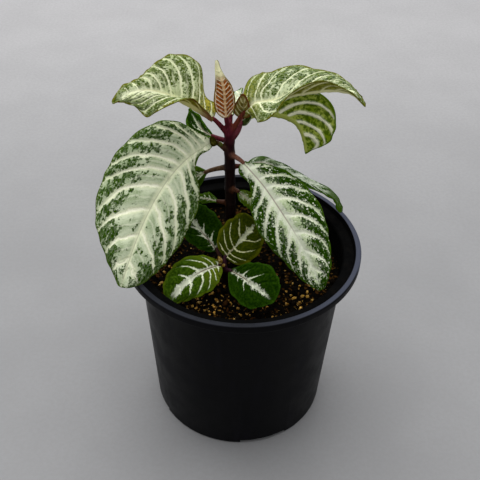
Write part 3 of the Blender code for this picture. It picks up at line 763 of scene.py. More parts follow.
# Large mature leaves
# Thin soft living blades about 0.5 mm thick, each on its own stalk, quilted between sunken side veins. The
# veins and the frost between them are cream to silver, and dark green shows in ragged patches of small cells.
BLADE_THICKNESS = 0.5
BLADE_ROOT_HALF_WIDTH = 0.4
BLADE_BOW = 0.08
MARGIN_WAVE = 0.5
KEEL_HEIGHT = 1.1
FULL_KEEL_WIDTH = 11
RIB_HEIGHT = 0.22
GUTTER_DEPTH = 0.35
MARGIN_SCALLOP = 0.25
THICKEST = 2.0
THICKNESS_LEVELS = 40
CURVE_SAMPLES = 2001
SLOPE_SAMPLES = 20
VEIN_SPACING_LIMITS = (0.3, 40)
BEFORE_FIRST_VEIN = -0.25
PAST_LAST_VEIN = 1.04
PAST_MARGIN = 1.3
RIGHT_HALF_STEPS = 20
LEAST_VEIN_GAP = 5.5
CELLS_BETWEEN_VEINS = 6.0
CELLS_ALONG_BLADE = 30.0
STREAKS_BETWEEN_VEINS = 9.0
LEAF_SHEEN = 0.004


def vein_steps(veins, lengthwise, crosswise):
    """Counts the side veins along the blade: a whole number on each vein, halves midway between two."""
    steps = np.zeros((len(lengthwise), len(crosswise)))
    for column, out in enumerate(np.abs(crosswise)):
        places = [BEFORE_FIRST_VEIN]
        marks = [-0.5]
        for number, (start, halfway, end, *_) in enumerate(veins):
            curve = 2 * (start + end - 2 * halfway)
            place = start + (end - start - curve) * out + curve * out ** 2
            places.append(max(place, places[-1] + 0.004))
            marks.append(number)
        places.append(max(PAST_LAST_VEIN, places[-1] + 0.05))
        marks.append(len(veins) - 0.5)
        steps[:, column] = np.interp(lengthwise, places, marks)
    return steps


def shape_blade(name, leaf, cells, quilt, finishes):
    """A grid that is bent to the blade's form, quilted and thickened, with its maps for the finish.

    Cells are counted along the blade and over half its width. The quilt is the height in millimetres to which
    the blade swells between two side veins.
    """
    bpy.ops.object.select_all(action="DESELECT")
    long_cells, side_cells = cells
    bpy.ops.mesh.primitive_grid_add(x_subdivisions=long_cells, y_subdivisions=2 * side_cells, size=2)
    blade = bpy.context.object
    flat = corners_of(blade)
    row = np.rint((flat[:, 0] + 1) / 2 * long_cells).astype(int)
    column = np.rint((1 - flat[:, 1]) * side_cells).astype(int)
    evenly = np.linspace(0, 1, long_cells + 1)
    lengthwise = 0.5 * evenly + 0.25 * (1 - np.cos(math.pi * evenly))
    crosswise = np.linspace(-1, 1, 2 * side_cells + 1)

    # The midrib, the way that the upper side faces, and half width and lift of each margin
    fine = CURVE_SAMPLES
    line = smooth_curve(LEAF_LINES[name], fine)
    nearest = np.rint(lengthwise * (fine - 1)).astype(int)
    ahead = line[np.minimum(nearest + SLOPE_SAMPLES, fine - 1)]
    behind = line[np.maximum(nearest - SLOPE_SAMPLES, 0)]
    along = unit(ahead - behind)
    face = smooth_curve(leaf["face"], fine)[nearest]
    up = unit(face - along * (face * along).sum(1, keepdims=True))
    across = np.cross(along, up)
    station = np.rint(np.arccos(np.clip(1 - 2 * lengthwise, -1, 1)) / math.pi * (fine - 1)).astype(int)
    sides = {}
    for side in ("left", "right"):
        form = smooth_curve([(0, 0), *leaf[side], (0, 0)], fine)[station]
        sides[side] = (np.maximum(form[:, 0], 0) + BLADE_ROOT_HALF_WIDTH, form[:, 1])

    place = np.zeros((len(lengthwise), len(crosswise), 3))
    steps = {}
    reaches = {}
    for side in ("left", "right"):
        veins = leaf.get(side + "_veins") or leaf["veins"]
        steps[side] = vein_steps(veins, lengthwise, crosswise)
        ends = np.array([vein[3] if len(vein) > 3 else PAST_MARGIN for vein in veins])
        reaches[side] = ends[np.clip(np.rint(steps[side]), 0, len(veins) - 1).astype(int)]
    from_rib = np.zeros((len(lengthwise), len(crosswise)))
    from_edge = np.zeros((len(lengthwise), len(crosswise)))
    length = np.linalg.norm(np.diff(line, axis=0), axis=1).sum()
    for number, out in enumerate(crosswise):
        side = "right" if out > 0 else "left"
        half_width, lift = sides[side]
        step = steps[side][:, number]
        share = abs(out)
        ripple = np.sin(2 * math.pi * leaf["waves"] * lengthwise + 2 * (out > 0))
        wave = MARGIN_WAVE * ripple * np.sin(math.pi * lengthwise)
        notch = leaf.get("scallop", MARGIN_SCALLOP) / np.maximum(half_width, 2)
        scallop = 1 - notch * np.cos(2 * math.pi * step) * share ** 6
        rise = lift * share + BLADE_BOW * half_width * 4 * share * (1 - share) + wave * share ** 2
        from_rib[:, number] = out * half_width
        from_edge[:, number] = np.minimum((1 - share) * half_width, (1 - lengthwise) * length * 0.8 + 0.05)
        swell = np.abs(np.sin(math.pi * step)) ** 0.75
        swell *= np.clip(np.abs(from_rib[:, number]) / 2.5, 0, 1) * np.clip(from_edge[:, number] / 3, 0.15, 1)
        gutter = GUTTER_DEPTH * np.exp(-(from_rib[:, number] / 1.1) ** 2) * (1 - lengthwise)
        rise = rise + quilt * swell - gutter + 0.25 * BLADE_THICKNESS
        sideways = half_width * out * scallop
        place[:, number] = line[nearest] + across * sideways[:, None] + up * rise[:, None]
    blade.data.vertices.foreach_set("co", (place[row, column] * MM).ravel())

    # Spacing of the side veins in millimetres, from how fast their count changes over the blade
    spacing = {}
    along_change = np.gradient(place, axis=0)
    across_change = np.gradient(place, axis=1)
    long_long = (along_change ** 2).sum(2)
    wide_wide = (across_change ** 2).sum(2)
    long_wide = (along_change * across_change).sum(2)
    area = np.maximum(long_long * wide_wide - long_wide ** 2, 1e-9)
    for side in ("left", "right"):
        step_long = np.gradient(steps[side], axis=0)
        step_wide = np.gradient(steps[side], axis=1)
        if side == "left":
            step_wide[:, side_cells] = step_wide[:, side_cells - 1]
        else:
            step_wide[:, side_cells] = step_wide[:, side_cells + 1]
        slope = wide_wide * step_long ** 2 - 2 * long_wide * step_long * step_wide
        slope = slope + long_long * step_wide ** 2
        spacing[side] = np.clip(1 / np.sqrt(np.maximum(slope / area, 1e-9)), *VEIN_SPACING_LIMITS)

    faces = len(blade.data.polygons)
    corner = np.empty(faces * 4, int)
    blade.data.loops.foreach_get("vertex_index", corner)
    middle = column[corner].reshape(-1, 4).mean(1)
    rightwards = np.repeat(middle > side_cells, 4)
    at = (row[corner], column[corner])
    maps = {
        "veins": (np.where(rightwards, steps["right"][at] + RIGHT_HALF_STEPS, steps["left"][at]),
                  np.where(rightwards, spacing["right"][at], spacing["left"][at])),
        "share": (np.abs(crosswise)[column[corner]], lengthwise[row[corner]]),
        "reach": (from_rib[at], from_edge[at]),
        "vein_end": (np.where(rightwards, reaches["right"][at], reaches["left"][at]), np.zeros(faces * 4)),
    }
    for layer in list(blade.data.uv_layers):
        blade.data.uv_layers.remove(layer)
    for label, (first, second) in maps.items():
        layer = blade.data.uv_layers.new(name=label)
        layer.data.foreach_set("uv", np.stack([first, second], 1).ravel())

    # Thin towards the margin, with a keel under the midrib and low ribs under the side veins
    step = np.where(crosswise[None, :] > 0, steps["right"], steps["left"])
    gap = np.where(crosswise[None, :] > 0, spacing["right"], spacing["left"])
    off_vein = np.abs((step + 0.5) % 1 - 0.5) * gap
    thickness = BLADE_THICKNESS * (0.7 + 0.3 * np.clip(from_edge / 2, 0, 1))
    keel = leaf.get("keel", KEEL_HEIGHT * min(1, np.abs(from_rib).max() / FULL_KEEL_WIDTH))
    thickness = thickness + keel * (1.05 - lengthwise[:, None]) * np.exp(-(from_rib / 0.9) ** 2)
    thickness = thickness + RIB_HEIGHT * np.exp(-(off_vein / 0.6) ** 2) * np.clip(from_edge / 4, 0, 1)
    share_of_thickest = np.clip(thickness / THICKEST, 0.05, 1)[row, column]
    weight = np.rint(share_of_thickest * THICKNESS_LEVELS).astype(int)
    group = blade.vertex_groups.new(name="thickness")
    for level in np.unique(weight):
        group.add(np.flatnonzero(weight == level).tolist(), level / THICKNESS_LEVELS, "REPLACE")
    for finish in finishes:
        blade.data.materials.append(finish)
    wall = blade.modifiers.new("Thickness", "SOLIDIFY")
    wall.thickness = THICKEST * MM
    wall.offset = -1
    wall.vertex_group = group.name
    wall.use_even_offset = False
    wall.material_offset = 1
    wall.material_offset_rim = 0
    apply_all(blade)
    bpy.ops.object.shade_smooth()
    return blade


def read_map(shader, label):
    layer = add_node(shader, "UVMap", {}, uv_map=label)
    parts = split(layer.outputs[0])
    return parts[0], parts[1]


def blade_maps(shader):
    """Vein step and spacing, shares outwards and along the blade, and distances from midrib and margin."""
    step, gap = read_map(shader, "veins")
    share, length = read_map(shader, "share")
    rib, edge = read_map(shader, "reach")
    return step, gap, share, length, sum_of("ABSOLUTE", rib), edge


def vein_distance(step, gap, bend):
    """How far a spot is from the nearest side vein, as a share of their spacing and in millimetres."""
    shifted = plus(plus(step, bend), 0.5)
    off = sum_of("ABSOLUTE", minus(sum_of("FRACT", shifted), 0.5))
    return off, times(off, sum_of("MAXIMUM", gap, LEAST_VEIN_GAP))


def around_zero(noise, amount):
    """A noise that stays mostly from 0.28 to 0.72, spread from minus to plus the amount."""
    return fade(noise, 0.28, 0.72, -amount, amount)


def linear_look(look):
    """A look in which each colour, three whole numbers as on a screen, is made linear."""
    ready = SimpleNamespace(**look)
    for key, value in look.items():
        if isinstance(value, tuple) and len(value) == 3 and isinstance(value[0], int):
            setattr(ready, key, shade(*value))
    return ready


def upper_finish(name, look, **changes):
    """Upper side of a blade: frost, dark cells, side veins, midrib and margin, from the blade's own maps."""
    look = linear_look({**look, **changes})
    material, shader = start_finish(name)
    step, gap, share, length, rib, edge = blade_maps(shader)
    vein_end, _ = read_map(shader, "vein_end")
    spot = place_in_mm(shader)
    broad = mottle(spot, 7, 2)
    fine = mottle(spot, 1.1, 3, 0.6)
    minute = mottle(spot, 0.5, 2, 0.6)

    # Side veins: a wandering line with a ragged edge, soft or sharp, that ends at its own reach
    bend = times(around_zero(broad, 0.08), fade(share, 0.0, 0.25))
    off, distance = vein_distance(step, gap, bend)
    jagged = plus(around_zero(fine, look.ragged), around_zero(minute, look.grain))
    part_way = sum_of("DIVIDE", share, vein_end)
    half_width = fade(part_way, 0.05, 1.0, look.vein_width, look.vein_end)
    half_width = minus(half_width, fade(length, 0.65, 0.95, 0.0, 0.4))
    beyond = minus(plus(distance, jagged), half_width)
    vein = fade(beyond, 0.0, look.vein_soft, 1.0, 0.0)
    stop = minus(times_plus(fine, 0.16, share), vein_end)
    vein = times(vein, fade(stop, 0.0, 0.1, 1.0, 0.0))
    vein = times(vein, fade(length, 0.92, 0.985, 1.0, 0.0))
    halo = fade(beyond, 0.0, look.halo_width, 1.0, 0.0)
    thin = plus(times(minus(0.5, off), gap), jagged)
    thin = fade(sum_of("ABSOLUTE", thin), 0.1, 0.6, look.thin_veins, 0.0)
    thin = times(thin, fade(share, 0.35, 0.6, 1.0, 0.0))

    # Pale flash along the midrib, drawn out along the side veins in teeth
    tooth = sum_of("POWER", times_plus(off, -2.0, 1.0), 4.0)
    flash_width = fade(length, look.flash_from, look.flash_to, look.flash[0], look.flash[1])
    flash_width = times_plus(tooth, look.teeth, flash_width)
    flash_width = times(flash_width, fade(length, look.flash_fade - 0.35, look.flash_fade, 1.0, 0.05))
    flash_noise = plus(around_zero(fine, look.flash_ragged), around_zero(minute, look.flash_ragged * 0.7))
    flash_distance = minus(plus(rib, flash_noise), flash_width)
    flash = fade(flash_distance, 0.0, look.flash_soft, 1.0, 0.0)
    flash = times(flash, fade(plus(rib, edge), 1.5, 5, 0.0, 1.0))

    # Dark cells in a lattice that follows the side veins, broken up by finer grit, fewer near the veins
    sideways = times(step, CELLS_BETWEEN_VEINS)
    lengthways = times_plus(rib, look.cell_draw, times(length, CELLS_ALONG_BLADE))
    lattice = add_node(spot, "CombineXYZ", {0: sideways, 1: lengthways}).outputs[0]
    push = add_node(spot, "TexNoise", {"Vector": spot, "Scale": 0.9}).outputs["Color"]
    shaken = {0: push, 1: (1.6, 1.6, 1.6), 2: lattice}
    shaken = add_node(spot, "VectorMath", shaken, operation="MULTIPLY_ADD").outputs[0]
    chances, from_middle = cell_pattern(shaken, 1 / look.cell, "2D")
    grit = fade(minute, 0.3, 0.7, 0.0, look.grit)
    grit = times_plus(chances[0], 1 - look.grit, grit)
    dark_share = fade(share, look.dark_from, look.dark_full, look.dark[0], look.dark[1])
    dark_share = plus(dark_share, around_zero(mottle(spot, look.patch_size, 2), look.patch))
    dark_share = plus(dark_share, fade(length, 0.82, 0.92, 0.0, 0.4))
    clear = fade(minus(distance, half_width), -0.2, look.clear, 1.2, 0.0)
    clear = times(clear, fade(length, 0.8, 0.95, 1.0, 0.4))
    dark_share = minus(dark_share, clear)
    edge_clear = times(fade(edge, 0.3, 1.5, look.edge_clear, 0.0), fade(length, 0.78, 0.9, 1.0, 0.2))
    dark_share = minus(dark_share, edge_clear)
    dark_share = sum_of("MINIMUM", dark_share, look.dark_most)
    dark = fade(minus(dark_share, grit), -0.08, 0.08)
    dark = times(dark, fade(from_middle, 0.3, 0.55, 1.0, look.net))

    # Frost, a little greyer midway between the veins, with streaks that run beside them
    streak_place = {0: times(step, STREAKS_BETWEEN_VEINS), 1: times(rib, 0.3)}
    streak_place = add_node(spot, "CombineXYZ", streak_place).outputs[0]
    streak = mottle(streak_place, 1.0, 3, 0.6)
    between = times(fade(off, 0.1, 0.45), 0.6)
    greyer = plus(between, fade(broad, 0.35, 0.65, 0.0, 0.5))
    frost = blend(greyer, look.frost, look.frost_grey)
    frost = blend(fade(streak, 0.45, 0.7, 0.0, look.streaks), frost, look.green_light)
    frost = blend(fade(minute, 0.45, 0.75, 0.0, 0.5), frost, look.frost_fleck)
    frost = blend(fade(share, 0.35, 0.95, 0.0, look.outer), frost, look.green_light)
    green = blend(fade(fine, 0.35, 0.7), look.green, look.green_light)
    base = blend(halo, frost, look.halo)
    base = blend(dark, base, green)
    if look.specks:
        dot_chances, _ = cell_pattern(spot, 1.35)
        near = fade(beyond, 0.0, 2.2, look.specks, look.specks * 0.15)
        specks = fade(minus(dot_chances[0], near), -0.02, 0.02, 0.85, 0.0)
        base = blend(specks, base, look.frost_fleck)
    base = blend(thin, base, look.vein)
    if look.olive:
        colour, start, end, amount = look.olive
        zone = fade(times_plus(broad, 0.12, length), start, end, amount, 0.0)
        base = blend(zone, base, blend(fade(fine, 0.46, 0.66), shade(*colour), look.green))
    vein_colour = blend(fade(share, 0.5, 1.0, 0.0, 0.7), look.vein, look.frost_grey)
    base = blend(times(vein, look.vein_strength), base, vein_colour)
    base = blend(times(flash, look.flash_strength), base, look.flash_colour)
    edge_line = fade(plus(edge, around_zero(fine, 0.8)),
                     look.edge_width, look.edge_width + look.edge_soft, 1.0, 0.0)
    base = blend(edge_line, base, blend(fine, look.edge, look.edge_light))
    line = fade(rib, look.rib_width, look.rib_width + 0.35, 1.0, 0.0)
    line = times(line, fade(length, look.rib_end - 0.3, look.rib_end, 0.85, 0.0))
    base = blend(line, base, look.rib)
    if look.tip:
        colour, start, end = look.tip
        mixed = blend(fine, shade(*colour), look.green)
        base = blend(fade(length, start, end, 0.0, 0.9), base, mixed)
    coat(shader, base, fade(fine, 0.3, 0.7, look.gloss, look.gloss + 0.12), LEAF_SHEEN)
    relief = times_plus(fade(distance, 0.0, 1.2), 0.8, times(minute, 0.2))
    relief = times_plus(from_middle, -0.3, relief)
    raise_surface(shader, relief, depth=0.35 * MM, strength=0.8)
    return material


def under_finish(name, look, **changes):
    """Underside of a blade: mottled green with paler raised veins, a pale midrib and a thin margin."""
    look = linear_look({**look, **changes})
    material, shader = start_finish(name)
    step, gap, share, length, rib, edge = blade_maps(shader)
    spot = place_in_mm(shader)
    broad = mottle(spot, 7, 2)
    fine = mottle(spot, look.mottle, 3, 0.6)
    _, distance = vein_distance(step, gap, around_zero(broad, 0.06))
    width = fade(share, 0.0, 1.0, look.vein_width, look.vein_end)
    beyond = minus(plus(distance, around_zero(fine, 0.2)), width)
    vein = fade(beyond, 0.0, 0.5, 0.9, 0.0)
    vein = times(vein, fade(share, 0.8, 0.98, 1.0, 0.0))
    green = blend(fade(broad, 0.3, 0.7), look.green, look.green_light)
    green = blend(fade(fine, 0.42, 0.58, 0.0, 0.9), green, look.green_deep)
    glow = fade(beyond, 0.0, 1.2, look.glow, 0.0)
    green = blend(glow, green, look.vein)
    base = blend(vein, green, look.vein)
    ring_place = sum_of("ABSOLUTE", minus(share, 0.84))
    base = blend(fade(ring_place, 0.02, 0.07, look.ring, 0.0), base, look.vein)
    rib_width = fade(length, 0.0, 1.0, look.rib_width, look.rib_width * 0.4)
    rib_mark = fade(minus(rib, rib_width), 0.0, look.rib_soft, 1.0, 0.0)
    base = blend(rib_mark, base, look.rib)
    edge_line = fade(plus(edge, around_zero(fine, 0.3)),
                     look.edge_width, look.edge_width + 0.5, 1.0, 0.0)
    base = blend(edge_line, base, look.edge)
    if look.tip:
        colour, start, end = look.tip
        base = blend(fade(length, start, end), base, shade(*colour))
    coat(shader, base, roughness=0.55, specular=LEAF_SHEEN)
    relief = times_plus(vein, 0.7, times(fine, 0.5))
    raise_surface(shader, relief, depth=0.3 * MM, strength=0.8)
    return material


def grow_leaf(name, leaf, cells, quilt, finishes, slot):
    """Grows and hands over a blade. One that has a stalk stands for the CAD node of the same name."""
    blade = shape_blade(name, leaf, cells, quilt, finishes)
    nodes = [name] if name in MAIN_STALKS or name in SHOOT_STALKS else []
    settle(blade, name + "_blade", finishes[0], slot, *nodes)


MATURE_LOOK = dict(
    vein=(250, 250, 224), vein_strength=0.9, vein_width=0.25, vein_end=-0.05, vein_soft=0.85, ragged=0.2,
    grain=0.35, specks=0, halo=(220, 226, 184), halo_width=1.7, frost=(216, 225, 192),
    frost_grey=(162, 178, 138), frost_fleck=(226, 231, 206), streaks=0.35, green=(26, 54, 0),
    green_light=(56, 86, 6), cell=0.95, cell_draw=0.9, grit=0.2, net=0.8, dark_from=0.2, dark_full=0.65,
    dark=(-0.1, 0.8), dark_most=0.8, patch=0.55, patch_size=3.4, clear=1.6, edge_clear=0.7, outer=0.3,
    flash_fade=0.95, thin_veins=0.35, flash=(0.9, 0.5), flash_from=0.1, flash_to=0.9, teeth=0.6,
    flash_ragged=0.2, flash_soft=1.4, flash_strength=0.7, flash_colour=(236, 240, 204), edge=(44, 68, 10),
    edge_light=(82, 104, 30), edge_width=0.45, edge_soft=0.7, rib=(188, 190, 160), rib_width=0.0,
    rib_end=1.25, gloss=0.45, olive=None, tip=None)
UNDER_LOOK = dict(
    vein=(190, 194, 132), vein_width=0.3, vein_end=0.15, green=(88, 116, 40), green_light=(108, 132, 52),
    green_deep=(66, 96, 28), glow=0.35, mottle=1.3, ring=0.0, rib=(186, 186, 120), rib_width=0.9,
    rib_soft=0.5, edge=(84, 112, 44), edge_width=0.5, tip=None)

# For each blade: where its upper side faces, half width and lift of both margins in millimetres from foot to
# tip, waves of the margin, and the side veins. A vein is given by where it leaves the midrib, is halfway and
# meets the margin, as shares of the length, and sometimes by how far out it still shows.
BIG_LEFT = dict(
    face=[(0.05, -0.84, 0.55), (0.03, -0.78, 0.63), (0.06, -0.77, 0.63)],
    left=[(2.2, 0), (3.5, -1), (16.5, -4.5), (19.5, -5), (18.5, -4.5), (14, -3), (7.5, -1.5)],
    right=[(6.2, 0), (20, -2.5), (26, -4), (26.5, -4.5), (22, -3.5), (12, -2), (4, -1.5)],
    waves=5,
    left_veins=[(0.05, 0.07, 0.1), (0.12, 0.14, 0.19), (0.185, 0.212, 0.3), (0.265, 0.315, 0.56),
                (0.375, 0.455, 0.77), (0.495, 0.62, 0.84), (0.665, 0.775, 0.9), (0.85, 0.925, 0.975)],
    right_veins=[(0.03, 0.045, 0.07), (0.075, 0.092, 0.13), (0.12, 0.126, 0.195), (0.165, 0.2, 0.33),
                 (0.233, 0.295, 0.44), (0.29, 0.38, 0.53), (0.395, 0.488, 0.69), (0.54, 0.63, 0.77),
                 (0.7, 0.775, 0.865), (0.835, 0.88, 0.925)],
)
BIG_RIGHT = dict(
    face=[(0, -0.73, 0.69), (0.05, -0.81, 0.58), (0.17, -0.88, 0.44)],
    left=[(3, -2.5), (10, -3), (15.5, -4), (17, -4), (14, -4), (9, -1), (3.5, 0.5)],
    right=[(4.5, -1), (4.5, -2), (11.5, -4), (13.5, -4), (11, -3), (7.5, -1), (3, 0.5)],
    waves=5,
    left_veins=[(0.05, 0.08, 0.14), (0.15, 0.18, 0.275), (0.22, 0.27, 0.42), (0.32, 0.38, 0.62),
                (0.43, 0.525, 0.72), (0.565, 0.655, 0.83), (0.7, 0.8, 0.92), (0.83, 0.9, 0.96)],
    right_veins=[(0.05, 0.08, 0.12), (0.12, 0.175, 0.22), (0.215, 0.27, 0.345), (0.3, 0.37, 0.53),
                 (0.39, 0.51, 0.72), (0.53, 0.635, 0.82), (0.66, 0.78, 0.94), (0.8, 0.88, 0.97)],
)
BACK_RIGHT = dict(
    face=[(0.25, -0.04, 0.97), (0.5, 0.05, 0.85), (0.5, 0.2, 0.8), (0.6, 0.1, 0.8), (0.7, -0.6, 0.45)],
    left=[(0.8, 0), (5, -1.5), (9, -1), (9.5, -0.5), (7, 0), (3.3, 0), (2.5, 0)],
    right=[(2.5, 0.5), (7, -1.5), (9, -1.5), (7, -0.5), (3.5, -0.5), (2, 0), (2.2, 0)],
    waves=3,
    veins=[(0.06, 0.1, 0.17), (0.16, 0.25, 0.36), (0.28, 0.4, 0.55), (0.42, 0.56, 0.7),
           (0.57, 0.7, 0.82), (0.72, 0.82, 0.9), (0.86, 0.92, 0.97)],
)
mature_under = under_finish("mature_leaf_underside", UNDER_LOOK)
big_left_upper = upper_finish("big_left_leaf_upper", MATURE_LOOK)
ragged_look = dict(
    MATURE_LOOK, vein=(242, 245, 222), vein_width=0.55, vein_end=0.05, vein_soft=0.45, ragged=0.45,
    grain=0.8, specks=0.22, halo=(220, 229, 190), halo_width=0.8, frost=(208, 221, 178),
    frost_grey=(168, 187, 138), green=(22, 50, 0), green_light=(48, 80, 8), grit=0.2, dark_from=0.12,
    dark_full=0.46, dark=(0.0, 1.15), dark_most=0.88, patch=0.35, patch_size=4, clear=1.0, cell=0.6,
    net=1.0, streaks=0.2, edge_clear=0.0, outer=0.1, thin_veins=0.2, flash=(1.9, 1.1), teeth=1.5,
    flash_ragged=0.5, flash_soft=0.8, flash_colour=(232, 237, 214), edge=(40, 70, 4),
    edge_light=(72, 102, 20), edge_width=0.35, edge_soft=0.6, rib=(160, 148, 136), rib_width=0.1,
    rib_end=0.7)
big_right_upper = upper_finish("big_right_leaf_upper", ragged_look)
back_right_upper = upper_finish(
    "back_right_leaf_upper", ragged_look, frost=(196, 204, 186), frost_grey=(146, 162, 130),
    frost_fleck=(204, 210, 196), halo=(190, 200, 178), vein=(204, 210, 194), vein_width=0.1, vein_end=0.0,
    flash=(0.4, 0.3), flash_colour=(200, 207, 190), teeth=0.4, dark_from=0.4, dark_full=0.8,
    dark=(0.4, 1.3), streaks=0.7, olive=((56, 84, 10), 0.26, 0.46, 0.85), specks=0,
    tip=((58, 84, 0), 0.68, 0.8))
back_right_under = under_finish(
    "back_right_leaf_underside", UNDER_LOOK, green=(78, 104, 22), green_light=(96, 118, 34),
    green_deep=(56, 84, 10), tip=((56, 80, 0), 0.66, 0.78))
grow_leaf("leaf_big_left", BIG_LEFT, (130, 40), 1.0, [big_left_upper, mature_under], "leaf_mature")
grow_leaf("leaf_big_right", BIG_RIGHT, (120, 34), 0.95, [big_right_upper, mature_under], "leaf_mature")
grow_leaf("leaf_back_right", BACK_RIGHT, (100, 26), 0.6, [back_right_upper, back_right_under], "leaf_mature")

# Top leaves
# The newest full-sized leaves, soft blades on short stalks under the growing tip. They arch and twist, so
# that their undersides show too, and they are still yellow-green to bronze near the stalk.
TOP_LEFT = dict(
    face=[(0.58, 0.01, 0.81), (0.47, -0.39, 0.79), (0.13, -0.58, 0.8)],
    left=[(1, 1), (3, 4), (4, 8), (8.5, 5.5), (12, -1.5), (6, -0.5), (0.5, 0.5)],
    right=[(5.5, 4), (8, 3), (17.5, 8), (18, 5), (7, -0.5), (4, -0.5), (1.5, 0)],
    waves=3,
    left_veins=[(0.04, 0.06, 0.1), (0.1, 0.18, 0.3), (0.2, 0.35, 0.62), (0.3, 0.55, 0.85),
                (0.42, 0.72, 0.93), (0.55, 0.82, 0.96), (0.68, 0.89, 0.98), (0.8, 0.94, 0.99)],
    right_veins=[(0.055, 0.06, 0.08), (0.1, 0.145, 0.22), (0.175, 0.225, 0.34), (0.25, 0.315, 0.47),
                 (0.345, 0.433, 0.56), (0.44, 0.54, 0.635), (0.53, 0.615, 0.68), (0.625, 0.65, 0.72),
                 (0.74, 0.755, 0.79), (0.84, 0.85, 0.88)],
)
TOP_RIGHT = dict(
    face=[(-0.77, -0.47, 0.43), (-0.27, 0.06, 0.96), (0.63, 0.05, 0.78)],
    left=[(4.5, 1), (13, 1.5), (12.5, 6), (12, 7), (8.5, 5), (4, 1.5), (1, 1)],
    right=[(2, 0), (9, -1.5), (11.5, 1), (9.5, 7), (6.5, 6.5), (3, 1.5), (0.5, 0)],
    waves=3,
    left_veins=[(0.03, 0.05, 0.08), (0.08, 0.105, 0.175), (0.15, 0.175, 0.205), (0.205, 0.225, 0.43),
                (0.3, 0.42, 0.58), (0.4, 0.53, 0.69), (0.5, 0.63, 0.79), (0.6, 0.72, 0.87),
                (0.7, 0.8, 0.93), (0.8, 0.88, 0.97)],
    right_veins=[(0.03, 0.05, 0.08), (0.1, 0.13, 0.2), (0.18, 0.23, 0.33), (0.27, 0.35, 0.5),
                 (0.38, 0.48, 0.64), (0.5, 0.6, 0.76), (0.62, 0.72, 0.85), (0.74, 0.82, 0.92),
                 (0.86, 0.91, 0.97)],
)
UPPER_RIGHT = dict(
    face=[(-0.42, 0.59, 0.69), (0.2, 0.72, 0.66), (0.87, 0.49, 0.07)],
    left=[(0.5, 1), (2.5, 3.5), (4.5, 7.5), (6.5, 11.5), (5.5, 13.5), (3.5, 9), (1, 3)],
    right=[(2, 2), (6.5, 5), (11.5, 9), (14, 12), (15.5, 11.5), (12, 7.5), (1.5, 2.5)],
    waves=3,
    left_veins=[(0.08, 0.12, 0.2), (0.2, 0.28, 0.38), (0.32, 0.42, 0.52), (0.44, 0.55, 0.66),
                (0.56, 0.68, 0.79), (0.7, 0.8, 0.88), (0.84, 0.9, 0.95)],
    right_veins=[(0.08, 0.12, 0.18), (0.2, 0.28, 0.4), (0.32, 0.44, 0.6), (0.42, 0.565, 0.75),
                 (0.5, 0.69, 0.83), (0.62, 0.81, 0.9), (0.77, 0.88, 0.95)],
)
top_look = dict(
    MATURE_LOOK, vein=(236, 238, 200), vein_width=0.15, vein_end=0.1, vein_soft=0.6, specks=0,
    halo=(198, 208, 156), halo_width=1.1, frost=(206, 214, 172), frost_grey=(172, 184, 136),
    frost_fleck=(216, 221, 190), green=(44, 64, 4), green_light=(86, 104, 22), dark_from=0.0, dark_full=0.5,
    dark=(0.4, 0.85), dark_most=0.85, grit=0.25, edge_clear=0.3, patch=0.6, cell=0.8, net=0.65, clear=0.6,
    outer=0.15, flash=(0.3, 0.3), teeth=0.3, olive=((168, 158, 54), 0.14, 0.38, 0.9), streaks=0.4,
    edge=(84, 86, 18), edge_light=(112, 112, 30), edge_width=0.35, rib=(222, 222, 178), rib_width=0.3,
    rib_end=0.9)
top_left_upper = upper_finish("top_left_leaf_upper", top_look)
top_right_look = dict(
    top_look, olive=((140, 144, 44), 0.1, 0.34, 0.85), dark=(0.5, 0.9), patch=0.45, cell=0.75, net=0.65,
    vein_width=0.05, vein_end=0.0, vein_soft=0.55, frost=(210, 219, 182), frost_grey=(180, 192, 146),
    green=(34, 60, 8))
top_right_upper = upper_finish("top_right_leaf_upper", top_right_look)
top_under = under_finish(
    "top_leaf_underside", UNDER_LOOK, green=(116, 108, 26), green_light=(136, 130, 40),
    green_deep=(92, 82, 16), vein=(204, 198, 120), rib=(210, 204, 136), edge=(98, 62, 20),
    tip=((122, 82, 56), 0.24, 0.04))
hanging_under = under_finish(
    "hanging_leaf_underside", UNDER_LOOK, green=(124, 148, 26), green_light=(176, 190, 84),
    green_deep=(66, 94, 2), glow=0.5, mottle=1.8, vein_width=0.45, vein_end=0.25, vein=(255, 254, 224),
    rib=(176, 186, 92), edge=(90, 116, 16))
grow_leaf("leaf_top_left", TOP_LEFT, (120, 36), 0.6, [top_left_upper, top_under], "leaf_top")
green_under = under_finish(
    "green_top_leaf_underside", UNDER_LOOK, green=(138, 140, 52), green_light=(160, 160, 76),
    green_deep=(106, 108, 30), vein=(226, 224, 168), rib=(226, 224, 168), edge=(104, 104, 24))
grow_leaf("leaf_top_right", TOP_RIGHT, (120, 34), 0.6, [top_right_upper, green_under], "leaf_top")
grow_leaf("leaf_upper_right", UPPER_RIGHT, (110, 34), 0.6, [big_left_upper, hanging_under], "leaf_top")

